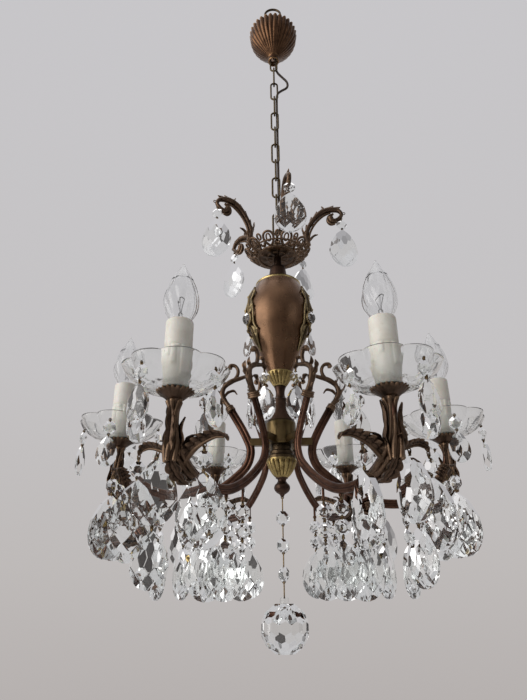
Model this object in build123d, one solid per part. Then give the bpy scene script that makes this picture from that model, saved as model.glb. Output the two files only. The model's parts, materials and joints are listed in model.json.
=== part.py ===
from build123d import *
from math import ceil, cos, pi, radians, sin, tan
import os

# Crystal chandelier with six arms, hung by a chain from a ceiling hook.  Millimetres, +Z up.
# The origin is where the ceiling hook bears on the hanging ring.  -Y is the side that is looked at.
# Heights named z_... below are measured from the drip pans' rims; height() turns them into Z.

# ---------------------------------------------------------------- suspension
ring_bore = 24.0            # inner diameter of the hanging ring
ring_wire = 4.0
link_length = 35.5          # inner length of a chain link
link_width = 14.0           # outer width of a chain link
link_wire = 3.0
link_count = 14
link_gap = 0.3              # slack between two links
eye_bore = 14.0             # inner diameter of the crown eye
eye_wire = 4.0
cable_diameter = 4.0
cable_clearance = 0.35      # between the cable and the links
canopy_length = 70.0
canopy_diameter = 86.0
canopy_wall = 1.2
canopy_neck_bore = 15.6
canopy_neck_length = 12.0
canopy_scallops = 16
z_canopy_neck = 682.0       # lower end of the canopy's neck

# ---------------------------------------------------------------- column
fit_gap = 0.15              # between the threaded rod and what is threaded on it
rod_diameter = 8.0
rod_engagement = 9.0        # how far its holes reach into the finial and stop below the boss's top
rod_end_gap = 0.5
z_eye_top = 313.0
eye_boss_diameter = 14.0
z_boss_top = 293.0
z_dish_floor = 266.0        # underside of the crown dish
dish_floor_thickness = 1.6
dish_wall = 2.0
dish_diameter = 95.0
dish_depth = 15.0
dish_holes = 10
z_cone_top = 249.0
cone_top_diameter = 21.5
z_cone_bottom = 226.0
cone_bottom_diameter = 28.0
cone_neck_diameter = 10.4
z_vase_top = 217.0
z_vase_bottom = 86.0
vase_top_diameter = 62.0
vase_diameter = 88.7
vase_bottom_diameter = 31.6
vase_wall = 1.5
z_cup_bottom = 67.8
cup_top_diameter = 34.5
cup_bottom_diameter = 15.5
cup_flutes = 16
z_spindle_bottom = 50.0
spindle_waist = 11.5
spindle_bottom_diameter = 19.0
z_hub_top = 21.0
hub_diameter = 37.0
z_hub_bottom = -9.0
lug_width = 7.0
lug_height = 9.0
z_rings_bottom = -26.5
rings_waist = 25.0
bowl_top_diameter = 36.4
z_bowl_bottom = -48.0
bowl_bottom_diameter = 14.3
bowl_flutes = 16
z_finial_bottom = -70.0
finial_diameter = 19.0

# ---------------------------------------------------------------- arms
arm_count = 6
first_arm = 30.0            # azimuth of arm 1, from the side that is looked at
arm_circle = 200.0          # radius of the circle of candles
arm_bead = 3.0              # radius of each of an arm's two reeds
arm_reed_pitch = 4.4        # between the two reeds' centres
arm_route = [(62, 36), (46, 9), (36, -14), (41, -34), (59, -51), (84, -68), (112, -79),
             (141, -80), (168, -72), (188, -56)]
arm_rise_turn = -30.0       # height at which the arm turns upright
collar_width = 15.0
collar_height = 6.0

# ---------------------------------------------------------------- candles
pan_diameter = 37.0
pan_depth = 9.0
pan_wall = 1.2
pan_flutes = 20
nipple_diameter = 10.0
hole_gap = 0.3              # around the nipple
bobeche_lobes = 8
bobeche_diameter = 104.0    # across the lobes
bobeche_valley = 5.5        # how far the rim draws in between two lobes
bobeche_height = 23.5
bobeche_wall = 2.2
bobeche_seat = 0.3          # height of its underside over the drip pan's rim
bobeche_floor_diameter = 30.0
washer_diameter = 28.0
washer_thickness = 1.5
washer_clearance = 0.4      # around the washer, on the bobeche's floor
sleeve_diameter = 27.4
sleeve_foot_diameter = 25.6
sleeve_bore = 22.6
sleeve_top = 73.0
sleeve_step = 44.0
holder_diameter = 20.0
holder_bore = 14.6
holder_top = 57.0
bulb_cap_diameter = 14.0
bulb_cap_length = 25.0
bulb_diameter = 35.0
bulb_tip = 142.0

# ---------------------------------------------------------------- crystals
hook_gap = 0.5              # between a drop's wire and the eye it hangs in
bobeche_hook_gap = 0.3      # between a bobeche drop's wire and the glass
pin_radius = 0.55
lug_radius = 1.4
pin_length = 3.2
octagon_size = 15.0
octagon_thickness = 7.0
pear_proportion = 0.67      # width over length
pear_depth = 0.22           # thickness over length
pear_top_flat = 0.5         # how much of a pear's point is ground off for its wire
large_pear = 66.0
medium_pear = 62.0
inner_pear = 55.0           # under the arms' bends
lower_pear = 50.0           # the second one of a string
scroll_pear = 44.0
small_pear = 36.0
small_pin_length = 2.5      # wires of the drops under a bobeche
vase_pear = 34.0
ball_diameter = 50.0
cabochon_diameter = 14.0
cabochon_gap = 0.5          # between a cabochon and its mount, at the nearest

# ---------------------------------------------------------------- ornament
scroll_tip = (38.5, 81.0)   # where the arm scroll's drop hangs: radius, height
crown_arms = 5
first_crown_arm = 10.0
crown_tip = (95.0, 327.0)
crown_facings = (0, 15, 40, -40, -15)   # the azimuths the crown drops face
leaf_circle = 187.0         # radius at which the acanthus leaves spread
leaf_width = 17.0
z_leaf_hooks = -54.0
mount_count = 3
mount_width = 15.0
mount_thickness = 3.0
mount_stand = 2.5           # from the vase to the middle of a mount's thickness
mount_bottom = 116.0
vase_drop_hook = (47.0, 138.0)
cabochon_height = 155.0
bobeche_hook_radius = 46.5  # from the candle's axis to a bobeche drop's wire

# Strings under each arm's leaves: place along the leaves (+ to the right when the arm is seen from
# outside), octagons, pear length, direction of the pear's flat side, length of a second pear.
arm_strings = [
    [(-27, 1, large_pear, -66, 0), (28, 0, medium_pear, -56, lower_pear), (52, 1, large_pear, -58, 0)],
    [(-52, 1, large_pear, -50, 0), (-27, 1, large_pear, -50, 0), (30, 1, large_pear, -50, 0)],
    [(27, 1, large_pear, 15, 0), (-28, 0, medium_pear, 20, lower_pear), (-52, 1, large_pear, 25, 0)],
    [(-27, 1, large_pear, -15, 0), (28, 0, medium_pear, -20, lower_pear), (52, 1, large_pear, -25, 0)],
    [(-30, 1, large_pear, 50, 0), (27, 1, large_pear, 50, 0), (52, 1, large_pear, 50, 0)],
    [(-52, 1, large_pear, 20, 0), (-28, 0, medium_pear, 15, lower_pear), (27, 1, large_pear, 10, 0)],
]
# Strings under each arm's bend: distance from the axis and direction of the pear's flat side for each
# arm in turn; all of them hang from one level.
inner_radii = (84.0, 114.0, 142.0)
inner_facings = ((-5, 5, 0), (50, 50, 50), (10, 10, 10), (-10, -10, -10), (-50, -50, -50), (0, 10, 5))
inner_beads = 2
z_inner_hooks = -86.0

# ---------------------------------------------------------------- worked-out places
link_pitch = link_length - link_gap
z_ring_seat = -ring_bore
first_link_centre = z_ring_seat + link_gap - link_length / 2
last_link_seat = first_link_centre - (link_count - 1) * link_pitch - link_length / 2
eye_top = last_link_seat + link_gap + eye_wire
pan_level = eye_top - z_eye_top


def height(z):
    """Z of a height measured from the drip pans."""
    return pan_level + z


def place(thing, azimuth):
    """Turn a piece made in the +X direction to an azimuth counted from -Y."""
    return thing.rotate(Axis.Z, azimuth - 90)


def arm_azimuth(index):
    return first_arm + 360 / arm_count * index


def face_of(*curves):
    """A flat face bounded by curves that meet end to end."""
    return make_face([edge for curve in curves for edge in curve.edges()])


def turned(*points):
    """A solid of revolution about Z from (radius, height) points."""
    outline = Polyline(*[(r, 0, height(z)) for r, z in points], close=True)
    return revolve(make_face(outline), Axis.Z)


def turned_curve(bottom, top, curve, wall=0.0):
    """A turned body whose side is a smooth curve through (radius, height) points."""
    side = Spline(*[(r, 0, height(z)) for r, z in curve])
    if wall:
        inner = Spline(*[(r - wall, 0, height(z)) for r, z in curve])
        return revolve(face_of(side, Line(side @ 1, inner @ 1), inner, Line(side @ 0, inner @ 0)), Axis.Z)
    core = Polyline(side @ 0, (0, 0, height(bottom)), (0, 0, height(top)), side @ 1)
    return revolve(face_of(side, core), Axis.Z)


def bored(body, diameter, low=-400, high=400):
    return body - Pos(0, 0, height((low + high) / 2)) * Cylinder(diameter / 2, high - low)


def fluted(body, count, bottom, top, radius, depth):
    """Grooves down the side of a turned body, between two (radius, height) points."""
    low = Vector(bottom[0] + radius - depth, 0, height(bottom[1]))
    high = Vector(top[0] + radius - depth, 0, height(top[1]))
    axis = high - low
    groove = Solid.make_cylinder(radius, axis.length * 1.3, Plane(origin=low - axis * 0.15, z_dir=axis))
    return body - [groove.rotate(Axis.Z, 360 / count * k) for k in range(count)]


def bend_radii(points):
    """Radius of each bend of a route: 0.45 of the shorter run over the tangent of half the turn."""
    radii = []
    for before, corner, after in zip(points, points[1:], points[2:]):
        first, second = Vector(corner) - Vector(before), Vector(after) - Vector(corner)
        turn = radians(first.get_angle(second))
        radii.append(0.45 * min(first.length, second.length) / tan(turn / 2))
    return radii


def route_wire(points):
    return FilletPolyline(*points, radius=bend_radii(points))


def blade(points, widths, thicknesses, stations=9):
    """A tapering leaf or scroll along a smooth curve in the XZ plane; its width lies along Y."""
    spine = Spline(*[(x, 0, z) for x, z in points])
    sections = []
    for k in range(stations):
        t = k / (stations - 1)
        here, along = spine @ t, spine % t
        across = Vector(-along.Z, 0, along.X)
        reach = t * (len(widths) - 1)
        i = min(int(reach), len(widths) - 2)
        w = widths[i] + (widths[i + 1] - widths[i]) * (reach - i)
        h = thicknesses[i] + (thicknesses[i + 1] - thicknesses[i]) * (reach - i)
        rim, ridge = Vector(0, w / 2, 0), across * (h / 2)
        corners = [here + rim, here + ridge + rim * 0.35, here + ridge - rim * 0.35,
                   here - rim, here - ridge - rim * 0.35, here - ridge + rim * 0.35]
        sections.append(Wire.make_polygon(corners))
    return Solid.make_loft(sections, True)


# ---------------------------------------------------------------- cut crystals
def ground(body, planes):
    """Grind flats on a crystal: keep what lies under every plane."""
    for plane in planes:
        body = body.split(plane, keep=Keep.BOTTOM)
    return Solid(body.wrapped) if not isinstance(body, Solid) else body


def pear(length, cells=3):
    """A flat pear drop cut in lozenges, top flat at the origin, flat side facing Y."""
    width, half = length * pear_proportion, length * pear_depth / 2
    top, low = length * 0.6, length * 0.4
    column, row = width / (2 * cells), length / (2 * cells + 2)
    reach_x, reach_up, reach_down = width * 0.56, top * 1.16, low * 1.12
    planes = []
    for side in (1, -1):
        for j in range(-cells - 1, 2 * cells):
            for i in range(-cells, cells + 1):
                x, z = i * column, j * row
                reach = reach_up if z > 0 else reach_down
                rise = 1 - (x / reach_x) ** 2 - (z / reach) ** 2
                if (i + j) % 2 or rise < 0.12:
                    continue
                slope = Vector(2 * half * x / reach_x ** 2, side, 2 * half * z / reach ** 2)
                planes.append(Plane(origin=(x, side * half * rise, z), z_dir=slope))
    for k in range(1, 12):                       # the rounded lower rim
        turn = pi + pi * k / 12
        c, s = cos(turn), sin(turn)
        planes.append(Plane(origin=(c * width / 2, 0, s * low), z_dir=(c / width * 2, 0, s / low)))
    for side in (1, -1):                         # the two shoulders and the flanks
        for share in (0.18, 0.5, 0.82):
            lean = radians(90 * share * 0.66)
            c, s = cos(lean), sin(lean)
            x = width / 2 * (1 - share ** 1.8) + 0.6 * share
            planes.append(Plane(origin=(side * x, 0, top * share), z_dir=(side * c, 0, s)))
    stone = ground(Pos(0, 0, (top - low) / 2) * Box(width, 2 * half, length), planes)
    crown = max(vertex.Z for vertex in stone.vertices()) - pear_top_flat
    stone = ground(stone, [Plane(origin=(0, 0, crown), z_dir=(0, 0, 1))])
    return stone.translate((0, 0, -crown))


def octagon():
    """A flat eight-sided bead with bevelled faces, top flat at the origin, flat side facing Y."""
    r, half = octagon_size / 2, octagon_thickness / 2
    planes = []
    for k in range(8):
        c, s = cos(pi / 4 * k), sin(pi / 4 * k)
        planes.append(Plane(origin=(r * c, 0, r * s), z_dir=(c, 0, s)))
        for side in (1, -1):
            planes.append(Plane(origin=(r * 0.52 * c, side * half, r * 0.52 * s),
                                z_dir=(c * 0.78, side, s * 0.78)))
    blank = Box(2 * r, 2 * half, 2 * r)
    return ground(blank, planes).translate((0, 0, -r))


def faceted_ball():
    """A ball cut in rows of flats, a little flattened, top flat at the origin."""
    r = ball_diameter / 2
    planes = []
    for row, count in ((0, 12), (27, 12), (-27, 12), (53, 8), (-53, 8), (90, 1), (-90, 1)):
        for k in range(count):
            turn = 2 * pi * (k + (0.5 if row in (27, -27) else 0)) / count
            c, s = cos(radians(row)), sin(radians(row))
            normal = Vector(c * cos(turn), c * sin(turn), s)
            planes.append(Plane(origin=normal * r * (0.95 if row in (90, -90) else 1.0), z_dir=normal))
    return ground(Box(3 * r, 3 * r, 3 * r), planes).translate((0, 0, -r * 0.95))


BEAD = octagon()
PEARS = {size: pear(size, cells) for size, cells in
         ((large_pear, 3), (medium_pear, 3), (inner_pear, 3), (lower_pear, 3), (scroll_pear, 2),
          (small_pear, 2), (vase_pear, 2))}
TRUE_LENGTHS = {size: -min(vertex.Z for vertex in stone.vertices()) for size, stone in PEARS.items()}


def pin(top, length):
    """A straight wire hanging down from a point."""
    return Pos(top.X, top.Y, top.Z - length / 2) * Cylinder(pin_radius, length)


def string_of_crystals(hook, beads, length, facing, second=0, wire=pin_length):
    """Wire, beads and one or two pears below a hook; facing is the flat side's direction."""
    solids, here = [], hook - Vector(0, 0, hook_gap / 2)
    for _ in range(beads):
        solids.append(pin(here, wire))
        here -= Vector(0, 0, wire)
        solids.append(BEAD.rotate(Axis.Z, facing).translate(here))
        here -= Vector(0, 0, octagon_size)
    for size in (length, second):
        if size:
            solids.append(pin(here, wire))
            here -= Vector(0, 0, wire)
            solids.append(PEARS[size].rotate(Axis.Z, facing).translate(here))
            here -= Vector(0, 0, TRUE_LENGTHS[size])
    return solids


def lug(hook, reach):
    """The little eye post above a hook that carries its string."""
    base = hook + Vector(0, 0, hook_gap / 2)
    return Pos(base.X, base.Y, base.Z + reach / 2) * Cylinder(lug_radius, reach)


def save(name, *pieces):
    solids = [solid for piece in pieces for solid in piece.solids()]
    export_step(solids[0] if len(solids) == 1 else Compound(children=solids), f"parts/{name}.step")


# ---------------------------------------------------------------- suspension
def hoop(bore, wire, centre_z, normal):
    ring = Solid.make_torus((bore + wire) / 2, wire / 2, Plane(origin=(0, 0, centre_z), z_dir=normal))
    return ring


def link(index):
    """One oval link; odd ones lie across X, even ones across Y."""
    centre = first_link_centre - index * link_pitch
    bend = (link_width - link_wire) / 2
    straight = (link_length + link_wire) / 2 - bend
    path = Wire([Line((bend, 0, -straight), (bend, 0, straight)),
                 ThreePointArc((bend, 0, straight), (0, 0, straight + bend), (-bend, 0, straight)),
                 Line((-bend, 0, straight), (-bend, 0, -straight)),
                 ThreePointArc((-bend, 0, -straight), (0, 0, -straight - bend), (bend, 0, -straight))])
    section = Plane(origin=(bend, 0, -straight), z_dir=(0, 0, 1)) * Circle(link_wire / 2)
    wire = sweep(section, path=path)
    return wire.rotate(Axis.Z, 90 if index % 2 == 0 else 0).translate((0, 0, centre))


def cable_route():
    """The supply cable in the groove between the links, with a loop thrown out, down to the crown dish."""
    a = (link_wire + cable_diameter) / 2 + cable_clearance
    top, loop = height(z_canopy_neck + 34), height(z_canopy_neck - 42)
    bottom = eye_top + 30
    points = [(a, a, top), (a, a, top - 40), (a + 1, a + 1, loop + 22), (a + 11, a + 4, loop + 12),
              (a + 20, a + 5, loop + 1), (a + 20, a + 5, loop - 13), (a + 9, a + 4, loop - 21),
              (a + 1, a + 1, loop - 32), (a, a, loop - 52)]
    level = points[-1][2]
    runs = ceil((level - bottom) / 58)
    for k in range(1, runs + 1):
        sway = 0.25 if k % 2 else 0.0
        points.append((a + sway, a - sway, level + (bottom - level) * k / runs))
    floor = height(z_dish_floor + dish_floor_thickness)
    points += [(a + 1, a + 0.7, eye_top + 6), (a + 3, a + 1.5, eye_top - 8), (a + 6, a + 1.7, floor + 16.5),
               (a + 6, a + 1.7, floor)]
    return points


def canopy():
    """A bell-shaped cover with a scalloped rim, open upwards, sliding on the chain."""
    neck = canopy_neck_bore / 2
    low, rim, r = z_canopy_neck, z_canopy_neck + canopy_length, canopy_diameter / 2
    top = low + canopy_neck_length
    curve = [(neck, top), (neck + 7, top + 7), (r * 0.66, top + 22), (r * 0.9, top + 39),
             (r - canopy_wall, rim)]
    inner = Spline(*[(x, 0, height(z)) for x, z in curve])
    outer = Spline(*[(x + canopy_wall, 0, height(z - 0.4)) for x, z in curve[:-1]]
                   + [(r, 0, height(rim))])
    tube = Polyline(outer @ 0, (neck + canopy_wall, 0, height(low)), (neck, 0, height(low)), inner @ 0)
    bell = revolve(face_of(inner, Line(inner @ 1, outer @ 1), outer, tube), Axis.Z)
    notch = Pos(r, 0, height(rim + 1.5)) * Rot(0, 90, 0) * Cylinder(3.2, 8)
    return bell - [notch.rotate(Axis.Z, 360 / canopy_scallops * (k + 0.5)) for k in range(canopy_scallops)]


# ---------------------------------------------------------------- column
def crown_dish():
    r, floor = dish_diameter / 2, z_dish_floor
    bore = rod_diameter / 2 + fit_gap
    under = [(bore, floor), (14, floor), (28, floor + 1.5), (39, floor + 6.5), (r, floor + dish_depth)]
    over = [(r - dish_wall * 1.2, floor + dish_depth + dish_wall * 0.4), (37.5, floor + 6.5 + dish_wall),
            (27.5, floor + 1.5 + dish_wall), (14, floor + dish_floor_thickness),
            (bore, floor + dish_floor_thickness)]
    bowl = turned(*under, *over)
    cuts = []
    for k in range(dish_holes):
        turn = 360 / dish_holes * k
        hole = Pos(37, 0, height(floor + 6)) * Rot(0, -24, 0) * Cylinder(5.0, 16)
        pierce = Pos(24.5, 0, height(floor)) * Cylinder(2.6, 16)
        notch = Pos(r + 1.2, 0, height(floor + dish_depth)) * Rot(0, -50, 0) * Cylinder(3.2, 16)
        cuts += [hole.rotate(Axis.Z, turn), pierce.rotate(Axis.Z, turn + 18), notch.rotate(Axis.Z, turn + 18)]
    return bowl - cuts


def crown_scroll():
    """One acanthus scroll rising from the crown dish, with the lug its drop hangs from."""
    seat_r, seat_z = dish_diameter / 2 - 2.5, z_dish_floor + dish_depth + 1.0
    tip_r, tip_z = crown_tip
    main = blade([(seat_r, height(seat_z)), (43, height(seat_z + 20)), (52, height(323)),
                  (66, height(339)), (82, height(342)), (tip_r - 1, height(334)), (tip_r, height(tip_z + 1))],
                 (6, 8, 8, 9, 8, 6, 4), (6, 6, 5, 6, 6, 5, 4), 12)
    curl = blade([(84, height(340)), (79, height(330)), (71, height(324)), (67, height(316)),
                  (72, height(312))], (5, 6, 4, 3), (4, 4, 3, 3), 7)
    hook = Vector(tip_r, 0, height(tip_z - 3))
    return main + curl + lug(hook, 4.5)


def vase_side():
    """Outside of the vase, bottom to top, as (radius, height)."""
    b, m, t = vase_bottom_diameter / 2, vase_diameter / 2, vase_top_diameter / 2
    return [(b, z_vase_bottom), (b + 8, 105.7), (b + 20.5, 135), (m - 2.3, 150), (m, 166),
            (m - 1.5, 184), (m - 7, 203), (t, z_vase_top)]


def on_vase(z):
    """Radius of the vase at a height."""
    side = vase_side()
    for (r0, z0), (r1, z1) in zip(side, side[1:]):
        if z0 <= z <= z1:
            return r0 + (r1 - r0) * (z - z0) / (z1 - z0)
    return side[-1][0]


def vase_mount():
    """A leaf ornament lying down the vase's side, with a seat for its cabochon and a hook."""
    levels = [mount_bottom] + [z for _, z in vase_side() if mount_bottom < z < z_vase_top]
    route = [(on_vase(z) + mount_stand, height(z)) for z in reversed(levels)]
    leaf = blade(route, (7, 15, 11, mount_width, 10, 13, 4), (mount_thickness,) * 7, 13)
    hook_r, hook_z = vase_drop_hook
    arm_end = on_vase(hook_z + 6) + mount_stand
    bracket = Pos((arm_end + hook_r) / 2, 0, height(hook_z + 4)) * Box(hook_r - arm_end + 3, 3, 3)
    return leaf + bracket + lug(Vector(hook_r, 0, height(hook_z)), 4)


def vase_crystal():
    """A round cabochon on the mount and a small pear under its hook."""
    r, middle = cabochon_diameter / 2, height(cabochon_height)
    widest = max(on_vase(cabochon_height + step) for step in (-r, 0, r))
    seat = widest + mount_stand + mount_thickness / 2 + cabochon_gap
    planes = []
    for k in range(8):
        c, s = cos(pi / 4 * k), sin(pi / 4 * k)
        planes.append(Plane(origin=(seat + 2, r * c, middle + r * s), z_dir=(0.15, c, s)))
        planes.append(Plane(origin=(seat + 5, r * 0.5 * c, middle + r * 0.5 * s),
                            z_dir=(1.0, 0.75 * c, 0.75 * s)))
    stone = ground(Pos(seat + 2.5, 0, middle) * Box(5, 2 * r, 2 * r), planes)
    hook_r, hook_z = vase_drop_hook
    drop = string_of_crystals(Vector(hook_r, 0, height(hook_z)), 0, vase_pear, 90)
    return [stone] + drop


def hub_drum(arms):
    """The drum with a lug to each arm, each lug ending on its arm."""
    r = hub_diameter / 2
    drum = turned((0, z_hub_bottom), (r - 1, z_hub_bottom), (r, z_hub_bottom + 3), (r, z_hub_top - 3),
                  (r - 1, z_hub_top), (0, z_hub_top))
    lugs = []
    for k in range(arm_count):
        bar = Pos(27, 0, height(z_hub_bottom + lug_height / 2)) * Box(22, lug_width, lug_height)
        lugs.append(place(bar, arm_azimuth(k)))
    return bored(drum + lugs - arms, rod_diameter + 2 * fit_gap)


def hub_rings():
    rings = turned((0, z_rings_bottom), (bowl_top_diameter / 2, z_rings_bottom),
                   (bowl_top_diameter / 2, z_rings_bottom + 3.5), (rings_waist / 2 + 3, z_rings_bottom + 5.5),
                   (rings_waist / 2 + 3, z_rings_bottom + 9), (rings_waist / 2, z_rings_bottom + 11),
                   (rings_waist / 2, z_hub_bottom), (0, z_hub_bottom))
    return bored(rings, rod_diameter + 2 * fit_gap)


# ---------------------------------------------------------------- arms
def arm_line(r):
    """Height of the arm's middle line over a radius, in its outer run."""
    for (r0, z0), (r1, z1) in zip(arm_route[4:], arm_route[5:]):
        if r0 <= r <= r1:
            return z0 + (z1 - z0) * (r - r0) / (r1 - r0)
    return arm_route[-1][1]


def arm():
    """A double-reeded arm in the XZ plane: up past the hub at one end, upright at the other."""
    end = -pan_depth
    route = arm_route + [(arm_circle, arm_rise_turn), (arm_circle, end)]
    points = [(r, 0, height(z)) for r, z in route]
    path = route_wire(points)
    start = Plane(origin=path @ 0, x_dir=(0, 1, 0), z_dir=path % 0)
    reeds = [Pos(0, side * arm_reed_pitch / 2) * Circle(arm_bead) for side in (1, -1)]
    section = Rectangle(arm_bead * 0.9, arm_reed_pitch) + reeds
    bar = sweep(start * section, path=path)
    for r in inner_radii:
        bar += lug(Vector(r, 0, height(z_inner_hooks)), arm_line(r) - z_inner_hooks)
    return bar


def arm_scroll():
    """The collar on an arm's upper end with its branching scroll and the lug its drop hangs from."""
    (r0, z0), (r1, z1) = arm_route[0], arm_route[1]
    along = Vector(r0 - r1, 0, z0 - z1).normalized()
    base = Vector(r0, 0, height(z0))
    seat = Plane(origin=base, x_dir=(0, 1, 0), z_dir=along)
    collar = extrude(seat * RectangleRounded(collar_width - 4, collar_width, 3.5), collar_height)
    tip_r, tip_z = scroll_tip
    stem = blade([(r0 + 3, height(z0 + 5)), (70, height(50)), (74.5, height(60)), (70, height(70)),
                  (61, height(77)), (51, height(80)), (tip_r - 1, height(tip_z + 3))],
                 (7, 6, 7, 6, 6, 5, 3), (6, 5, 6, 5, 5, 4, 3), 12)
    hook = blade([(60, height(77)), (55, height(86)), (56, height(96)), (62, height(100)), (66, height(97))],
                 (5, 5, 4, 3), (4, 4, 4, 3), 9)
    leaf_in = blade([(71, height(56)), (65, height(63)), (58, height(65))], (4, 5, 2), (4, 3, 2), 5)
    leaf_out = blade([(74, height(60)), (78, height(64)), (80, height(70))], (4, 5, 2), (4, 3, 2), 5)
    eye = lug(Vector(tip_r, 0, height(tip_z - 3)), 5)
    return collar + stem + hook + leaf_in + leaf_out + eye


def arm_leaves(index, arm_solid):
    """The casting at an arm's outer end: a stem sheath and two leaves with the strings' lugs."""
    sheath = Pos(arm_circle, 0, 0) * turned((0, -66), (8, -66), (9.5, -52), (6.6, -26), (6.2, -14),
                                            (7.5, -pan_depth), (0, -pan_depth))
    root = Pos(leaf_circle - 2, 0, height(-64)) * Rot(0, 40, 0) * Cone(8.5, 11.0, 26)
    casting = sheath + root
    for side in (1, -1):
        leaf = blade([(0, height(-66)), (7, height(-59)), (16, height(-51)), (29, height(-48.5)),
                      (42, height(-45.5)), (50, height(-48)), (53.5, height(-51.5))],
                     (12, leaf_width, leaf_width + 3, leaf_width, leaf_width - 3, 8, 4),
                     (9, 6, 4.5, 4, 3.5, 3, 3), 12)
        casting += leaf.rotate(Axis.Z, 90 * side).translate((leaf_circle, 0, 0))
    for along, *_ in arm_strings[index]:
        casting += lug(Vector(leaf_circle, along, height(z_leaf_hooks)), 5)
    return casting - arm_solid


# ---------------------------------------------------------------- candles
def drip_pan():
    r, bore = pan_diameter / 2, nipple_diameter / 2 + hole_gap
    pan = turned((bore, -pan_depth), (7, -pan_depth), (9, -pan_depth + 1.5), (r - 3, -2.6), (r, 0),
                 (r - 2.5, 0), (r - 5, -1.5), (8.5, -pan_depth + 1.5 + pan_wall),
                 (bore, -pan_depth + pan_wall))
    return fluted(pan, pan_flutes, (9, -pan_depth + 1.5), (r - 1.5, -1.5), 1.1, 0.7)


def lobed_wire(z, radius, valley):
    """One level of the glass: arcs bulging between valleys."""
    step = 360 / bobeche_lobes
    arcs = []
    for k in range(bobeche_lobes):
        ends = [radians(step * (k + side)) for side in (-0.5, 0.5)]
        middle = radians(step * k)
        start, stop = [((radius - valley) * cos(t), (radius - valley) * sin(t), height(z)) for t in ends]
        arcs.append(ThreePointArc(start, (radius * cos(middle), radius * sin(middle), height(z)), stop))
    return Wire(arcs)


def bobeche_levels():
    """The glass's outside from its floor to its rim, as (height, radius over a lobe, valley depth)."""
    r, up, valley = bobeche_diameter / 2, bobeche_height - bobeche_seat, bobeche_valley
    levels = [(0, bobeche_floor_diameter / 2, 0.05), (0.08, r * 0.58, 0.25), (0.36, r * 0.8, 0.6),
              (0.67, r * 0.93, 0.85), (1, r, 1)]
    return [(bobeche_seat + up * share, radius, valley * deep) for share, radius, deep in levels]


def bobeche():
    """A glass saucer of eight lobes with a hole for the nipple, standing on the drip pan's rim."""
    wall, outside = bobeche_wall, bobeche_levels()
    inside = [(bobeche_floor_top, washer_diameter / 2 + washer_clearance, outside[0][2])]
    for (z, radius, valley), rise, step in zip(outside[1:], (wall, wall / 2, 0, 0), (0.7, 1, 1, 1)):
        inside.append((z + rise, radius - wall * step, valley))
    shell = (Solid.make_loft([lobed_wire(*level) for level in outside], True)
             - Solid.make_loft([lobed_wire(*level) for level in inside], True))
    hole = Pos(0, 0, height(0)) * Cylinder(nipple_diameter / 2 + hole_gap, 20)
    return shell - hole


def under_bobeche(radius):
    """Height of the glass's underside over the middle of a lobe."""
    levels = bobeche_levels()
    for (z0, r0, _), (z1, r1, _) in zip(levels, levels[1:]):
        if r0 <= radius <= r1:
            return z0 + (z1 - z0) * (radius - r0) / (r1 - r0)
    return levels[-1][0]


bobeche_floor_top = bobeche_seat + bobeche_wall
washer_top = bobeche_floor_top + washer_thickness


def holder():
    """The lampholder with its nipple, inside the sleeve."""
    r, bore, n = holder_diameter / 2, holder_bore / 2, nipple_diameter / 2
    bottom = holder_top - bulb_cap_length - 1.0
    return turned((0, -pan_depth), (n, -pan_depth), (n, washer_top), (r, washer_top), (r, holder_top),
                  (bore, holder_top), (bore, bottom), (0, bottom))


def sleeve():
    """The candle sleeve: a tube with a thicker upper part, standing on the washer."""
    foot, upper, bore = sleeve_foot_diameter / 2, sleeve_diameter / 2, sleeve_bore / 2
    return turned((bore, washer_top), (foot, washer_top), (foot, sleeve_step), (upper, sleeve_step + 2),
                  (upper, sleeve_top - 1), (upper - 1, sleeve_top), (bore, sleeve_top))


def bulb():
    """A candle bulb: screw cap and pointed glass."""
    cap_top, r, cap_r = holder_top + 2, bulb_diameter / 2, bulb_cap_diameter / 2 - 0.4
    cap_low = cap_top - bulb_cap_length
    cap = turned((0, cap_low), (4, cap_low), (cap_r, cap_low + 3), (cap_r, cap_top), (0, cap_top))
    side = [(6.3, cap_top), (7.4, 66), (9.8, 73), (r - 1.4, 86), (r, 95), (r - 1.6, 107), (r * 0.6, 122),
            (r * 0.24, 134), (0.8, bulb_tip)]
    return [cap, turned_curve(cap_top, bulb_tip, side)]


# ---------------------------------------------------------------- assembly
def at_candle(thing, index):
    return place(thing.translate((arm_circle, 0, 0)), arm_azimuth(index))


def hook_point(radius, along, z):
    return Vector(radius, along, height(z))


def turned_string(solids, azimuth):
    return [place(solid, azimuth) for solid in solids]


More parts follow.
